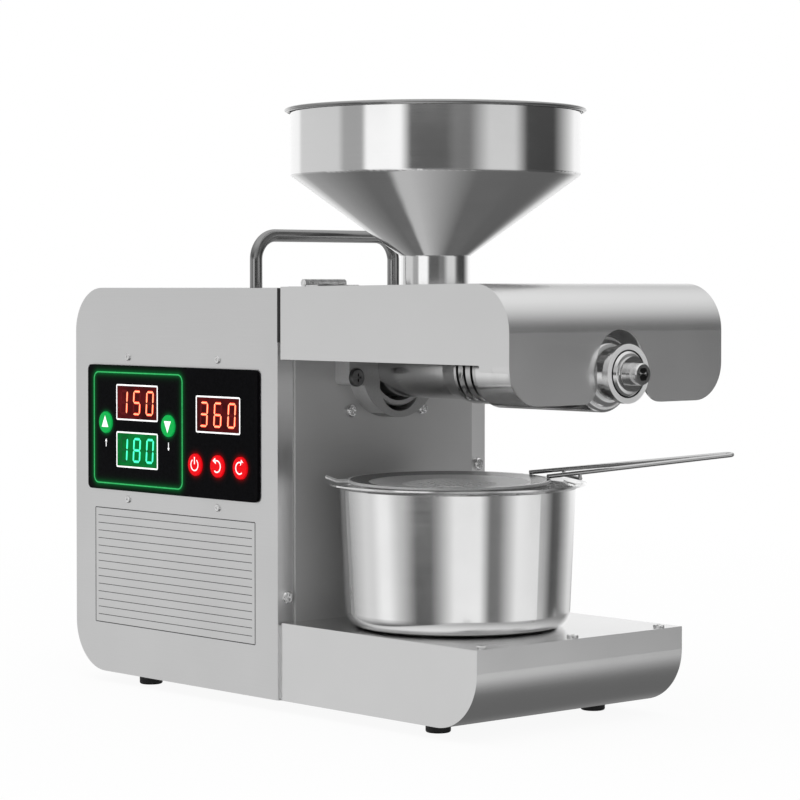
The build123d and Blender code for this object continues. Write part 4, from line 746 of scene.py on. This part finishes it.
def barrel_shoulder(material):
    """Ring round the barrel's root, which leaves only the lowest part of the relief open."""
    flange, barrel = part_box("head_flange"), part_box("press_barrel")
    axis_z = (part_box("press_worm")[0].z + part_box("press_worm")[1].z) / 2
    inner = (barrel[1].y - barrel[0].y) / 2 - SHOULDER_OVERLAP * MM
    outer = inner + SHOULDER_WIDTH * MM
    start, end = flange[0].x + SHOULDER_BACK * MM, flange[1].x - SHOULDER_FRONT * MM
    bevel = SHOULDER_CHAMFER * MM
    profile = [(start, inner), (start, outer), (end - bevel, outer), (end, outer - bevel), (end, inner)]
    mesh = turned_mesh("barrel_shoulder", profile, axis_z)
    add_piece("barrel_shoulder", mesh, material, "housing")


def turned_mesh(name, profile, axis_z, steps=96):
    """A ring about a line along X, from a closed profile of (x, radius) points."""
    points, faces = [], []
    count = len(profile)
    for step in range(steps):
        turn = 2 * math.pi * step / steps
        points += [(x, r * math.cos(turn), axis_z + r * math.sin(turn)) for x, r in profile]
    for step in range(steps):
        here, there = step * count, (step + 1) % steps * count
        for index in range(count):
            after = (index + 1) % count
            faces.append((here + index, here + after, there + after, there + index))
    mesh = bpy.data.meshes.new(name)
    mesh.from_pydata(points, [], faces)
    for polygon in mesh.polygons:
        polygon.use_smooth = True
    mesh.set_sharp_from_angle(angle=math.radians(30))
    mesh.update()
    return mesh


# Dress of the solids
def soften(names, width, segments=2, angle=35):
    """Round the sharp edges of sheet and cast pieces, so that they catch the light."""
    for name in names:
        bevel = NODES[name].modifiers.new("edge", "BEVEL")
        bevel.width = width * MM
        bevel.segments = segments
        bevel.limit_method = "ANGLE"
        bevel.angle_limit = math.radians(angle)
        bevel.harden_normals = True


def dress(materials):
    """Give every solid its material."""
    for material, names in materials:
        for name in names:
            slots = NODES[name].data.materials
            slots.clear()
            slots.append(material)


def all_materials():
    side = metal("brushed_side", 0.84, 0.30, [ALONG_X], 0.012, 0.012, cloud=0.015, way="sides", stretch=0.8)
    hood = metal("brushed_hood", 0.84, 0.25, [ALONG_X, ALONG_Y], 0.012, 0.012, cloud=0.015,
                 way="sides", stretch=0.6)
    wrap = metal("brushed_wrap", 0.72, 0.28, [ALONG_Y], 0.02, 0.015, cloud=0.02, way="sides", stretch=0.8)
    satin = metal("satin_bulkhead", 0.56, 0.48, [ALONG_Y], 0.015, 0.01, body=0.62)
    polished = metal("polished_steel", 0.84, 0.12, [TURNED_Z], 0.015, 0.008, cloud=0.02)
    spun = metal("spun_pot", 0.86, 0.14, [TURNED_Z], 0.015, 0.01, cloud=0.02, way="round_z", stretch=0.7)
    drawn = metal("drawn_wire", 0.62, 0.14, [ALONG_X], 0.02, 0.01, cloud=0.02)
    bar = metal("drawn_bar", 0.30, 0.15, [ALONG_X], 0.02, 0.01, cloud=0.02)
    dish = dish_material()
    sieve = metal("sieve_steel", 0.93, 0.45, [SPECKLE], 0.03, 0.01, body=0.1)
    turned = metal("turned_steel", 0.66, 0.22, [TURNED_X], 0.05, 0.04)
    bright = faced_steel()
    cast = flange_material()
    zinc = metal("bright_zinc", 0.84, 0.14, [(620.0, 620.0, 620.0)], 0.14, 0.9)
    oxide = metal("dark_oxide", 0.16, 0.32, [(700.0, 700.0, 700.0)], 0.10)
    ground = metal("ground_gear", 0.46, 0.30, [TURNED_X], 0.06)
    alloy = metal("cast_alloy", 0.58, 0.46, [(650.0, 650.0, 650.0)], 0.08, 0.18)
    brass = metal("heater_jacket", 0.62, 0.34, [TURNED_X], tint=(1.0, 0.82, 0.48))
    worm = worm_material()
    hidden = spangled("galvanised", 0.55)
    rubber = moulded("black_rubber", (0.014, 0.014, 0.015), 0.62, bump=0.3)
    dark = moulded("black_plastic", (0.02, 0.02, 0.022), 0.45, bump=0.25)
    paint = moulded("motor_paint", (0.04, 0.04, 0.045), 0.38, scale=500.0, bump=0.3)
    fan = moulded("fan_plastic", (0.025, 0.025, 0.028), 0.5)
    green = lit("green_key", (0.004, 0.36, 0.065), 0.55, edge=0.92)
    red = lit("red_key", (0.66, 0.002, 0.006), 0.65, edge=0.92)
    perforated_disc(sieve)
    nose_ring(worm)
    barrel_shoulder(cast)
    dress([
        (side, ["control_side_panel", "far_side_panel"]),
        (wrap, ["housing_wrap"]),
        (hood, ["upper_cover", "base_shell", "base_top_plate"]),
        (satin, ["bulkhead"]),
        (spun_hopper(), ["hopper"]),
        (spun, ["pot"]),
        (dish, ["strainer_bowl"]),
        (polished, ["strainer_mesh"]),
        (drawn, ["strainer_handle"]),
        (bar, ["carry_handle"]),
        (turned, ["press_barrel", "barrel_socket", "output_shaft"]),
        (bright, ["cage_drum", "nose_collar"]),
        (worm, ["press_worm"]),
        (cast, ["head_flange"]),
        (oxide, ["ear_screws"]),
        (zinc, ["base_screws", "bulkhead_screws", "head_screws", "panel_screws", "hinge_pins",
                "hinge_fixed_leaves", "hinge_cover_leaves", "handle_nuts", "gearbox_bolts",
                "temperature_probe"]),
        (ground, ["output_gear", "layshaft", "first_gear", "gearbox_bearings", "motor_rotor",
                  "motor_stator"]),
        (alloy, ["gearbox_front", "gearbox_rear"]),
        (brass, ["heater_band"]),
        (hidden, ["bottom_plate", "motor_saddle"]),
        (rubber, ["feet", "seam_gasket"]),
        (dark, ["power_inlet"]),
        (paint, ["motor_bells"]),
        (fan, ["cooling_fan"]),
        (fascia_material(), ["control_fascia"]),
        (window_material(), ["display_windows"]),
        (circuit_material(), ["control_board", "power_board"]),
        (green, GREEN_KEYS),
        (red, [name for name in KEYS if name not in GREEN_KEYS]),
    ])


# Studio
def strip_stops(strips):
    """Ramp stops (position, level) for strips that change softly into each other."""
    stops = [(-180, strips[0][1])]
    for index, (end, level, change) in enumerate(strips[:-1]):
        stops.append((end - change / 2, level))
        stops.append((end + change / 2, strips[index + 1][1]))
    return [((angle + 180) / 360, level) for angle, level in stops]


def ramp(shader, value, stops):
    made = shader.node("ValToRGB", {"Fac": value})
    elements = made.color_ramp.elements
    while len(elements) > 1:
        elements.remove(elements[-1])
    elements[0].position = stops[0][0]
    elements[0].color = (*grey(stops[0][1]), 1.0)
    for position, level in stops[1:]:
        added = elements.new(position)
        added.color = (*grey(level), 1.0)
    return made.outputs["Color"]


def studio_world():
    """White to the camera; round the object, strips of light, with a ceiling above and a dim floor below."""
    world = bpy.data.worlds.new("studio")
    bpy.context.scene.world = world
    shader = Shader(world)
    background = shader.nodes["Background"]
    direction = shader.node("TexCoord").outputs["Generated"]
    towards = (math.sin(CAMERA_AZIMUTH), -math.cos(CAMERA_AZIMUTH), 0.0)
    rightwards = (math.cos(CAMERA_AZIMUTH), math.sin(CAMERA_AZIMUTH), 0.0)
    near, right = [
        shader.node("VectorMath", {0: direction, 1: axis}, operation="DOT_PRODUCT").outputs["Value"]
        for axis in (towards, rightwards)
    ]
    angle = shader.math("ARCTAN2", right, near)
    turn = shader.math("ADD", shader.math("DIVIDE", angle, 2 * math.pi), 0.5)
    cone, high, colour = [
        ramp(shader, turn, strip_stops(strips)) for strips in (CONE_STRIPS, HIGH_STRIPS, LOW_STRIPS)
    ]
    height = shader.parts(direction)["Z"]
    bands = ((HIGH_BAND, high), (CONE_BAND, cone), (MIDDLE_BAND, grey(MIDDLE_LEVEL)),
             (CEILING_BAND, grey(CEILING_LEVEL)), (UNDER_BAND, grey(UNDER_LEVEL)))
    for band, level in bands:
        colour = shader.blend(shader.spread(height, 0.0, 1.0, *band), colour, level)
    is_camera = shader.node("LightPath").outputs["Is Camera Ray"]
    colour = shader.blend(is_camera, colour, (1.0, 1.0, 1.0))
    shader.tree.links.new(colour, background.inputs["Color"])
    background.inputs["Strength"].default_value = 1.0


def studio_floor():
    """Pale floor that stays near white to the camera and keeps the object's shadow."""
    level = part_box("feet")[0].z
    mesh = bpy.data.meshes.new("studio_floor")
    corners = [(x * FLOOR_HALF, y * FLOOR_HALF, level) for x, y in ((-1, -1), (1, -1), (1, 1), (-1, 1))]
    mesh.from_pydata(corners, [], [(0, 1, 2, 3)])
    floor = bpy.data.objects.new("studio_floor", mesh)
    bpy.context.scene.collection.objects.link(floor)
    material, shader, surface = new_material("pale_floor")
    surface.inputs["Base Color"].default_value = (*grey(FLOOR_TONE), 1.0)
    surface.inputs["Roughness"].default_value = 1.0
    surface.inputs["Specular IOR Level"].default_value = 0.0
    emission = shader.node("Emission", {"Strength": 1.0})
    is_camera = shader.node("LightPath").outputs["Is Camera Ray"]
    away = shader.node("VectorMath", {0: shader.place()}, operation="LENGTH").outputs["Value"]
    share = shader.spread(away, *FLOOR_SHARE, *FLOOR_FADE)
    factor = shader.math("MULTIPLY", is_camera, share)
    mixed = shader.node("MixShader", {"Fac": factor, 1: surface.outputs[0], 2: emission.outputs[0]})
    output = shader.nodes["Material Output"]
    shader.tree.links.new(mixed.outputs[0], output.inputs["Surface"])
    mesh.materials.append(material)
    floor.visible_glossy = False


def studio_lamp(name, place, target, size, power):
    """A soft rectangular lamp that looks at a point."""
    lamp = bpy.data.lights.new(name, "AREA")
    lamp.shape = "RECTANGLE"
    lamp.size, lamp.size_y = size
    lamp.energy = power
    holder = bpy.data.objects.new(name, lamp)
    holder.location = place
    way = [b - a for a, b in zip(place, target)]
    yaw = math.atan2(way[1], way[0])
    drop = math.atan2(-way[2], math.hypot(way[0], way[1]))
    holder.rotation_euler = (math.pi / 2 - drop, 0.0, yaw - math.pi / 2)
    bpy.context.scene.collection.objects.link(holder)
    return holder


def studio_camera():
    camera = bpy.data.cameras.new("camera")
    camera.lens = CAMERA_LENS
    camera.sensor_width = 36.0
    camera.shift_x, camera.shift_y = CAMERA_SHIFT
    camera.clip_end = 50.0
    holder = bpy.data.objects.new("camera", camera)
    holder.location = CAMERA_PLACE
    holder.rotation_euler = (math.pi / 2 - CAMERA_PITCH, 0.0, CAMERA_AZIMUTH)
    bpy.context.scene.collection.objects.link(holder)
    bpy.context.scene.camera = holder


studio_camera()
studio_world()
studio_floor()
key_lamp = studio_lamp("overhead", LAMP_PLACE, LAMP_TARGET, LAMP_SIZE, LAMP_POWER)
key_lamp.visible_glossy = False
all_materials()
panel_prints()
ruled_plate()
soften(["control_side_panel", "far_side_panel", "upper_cover", "base_shell", "base_top_plate"], 0.25)
soften(["head_flange", "nose_collar"], 0.4)
bpy.context.scene.view_settings.view_transform = "Standard"
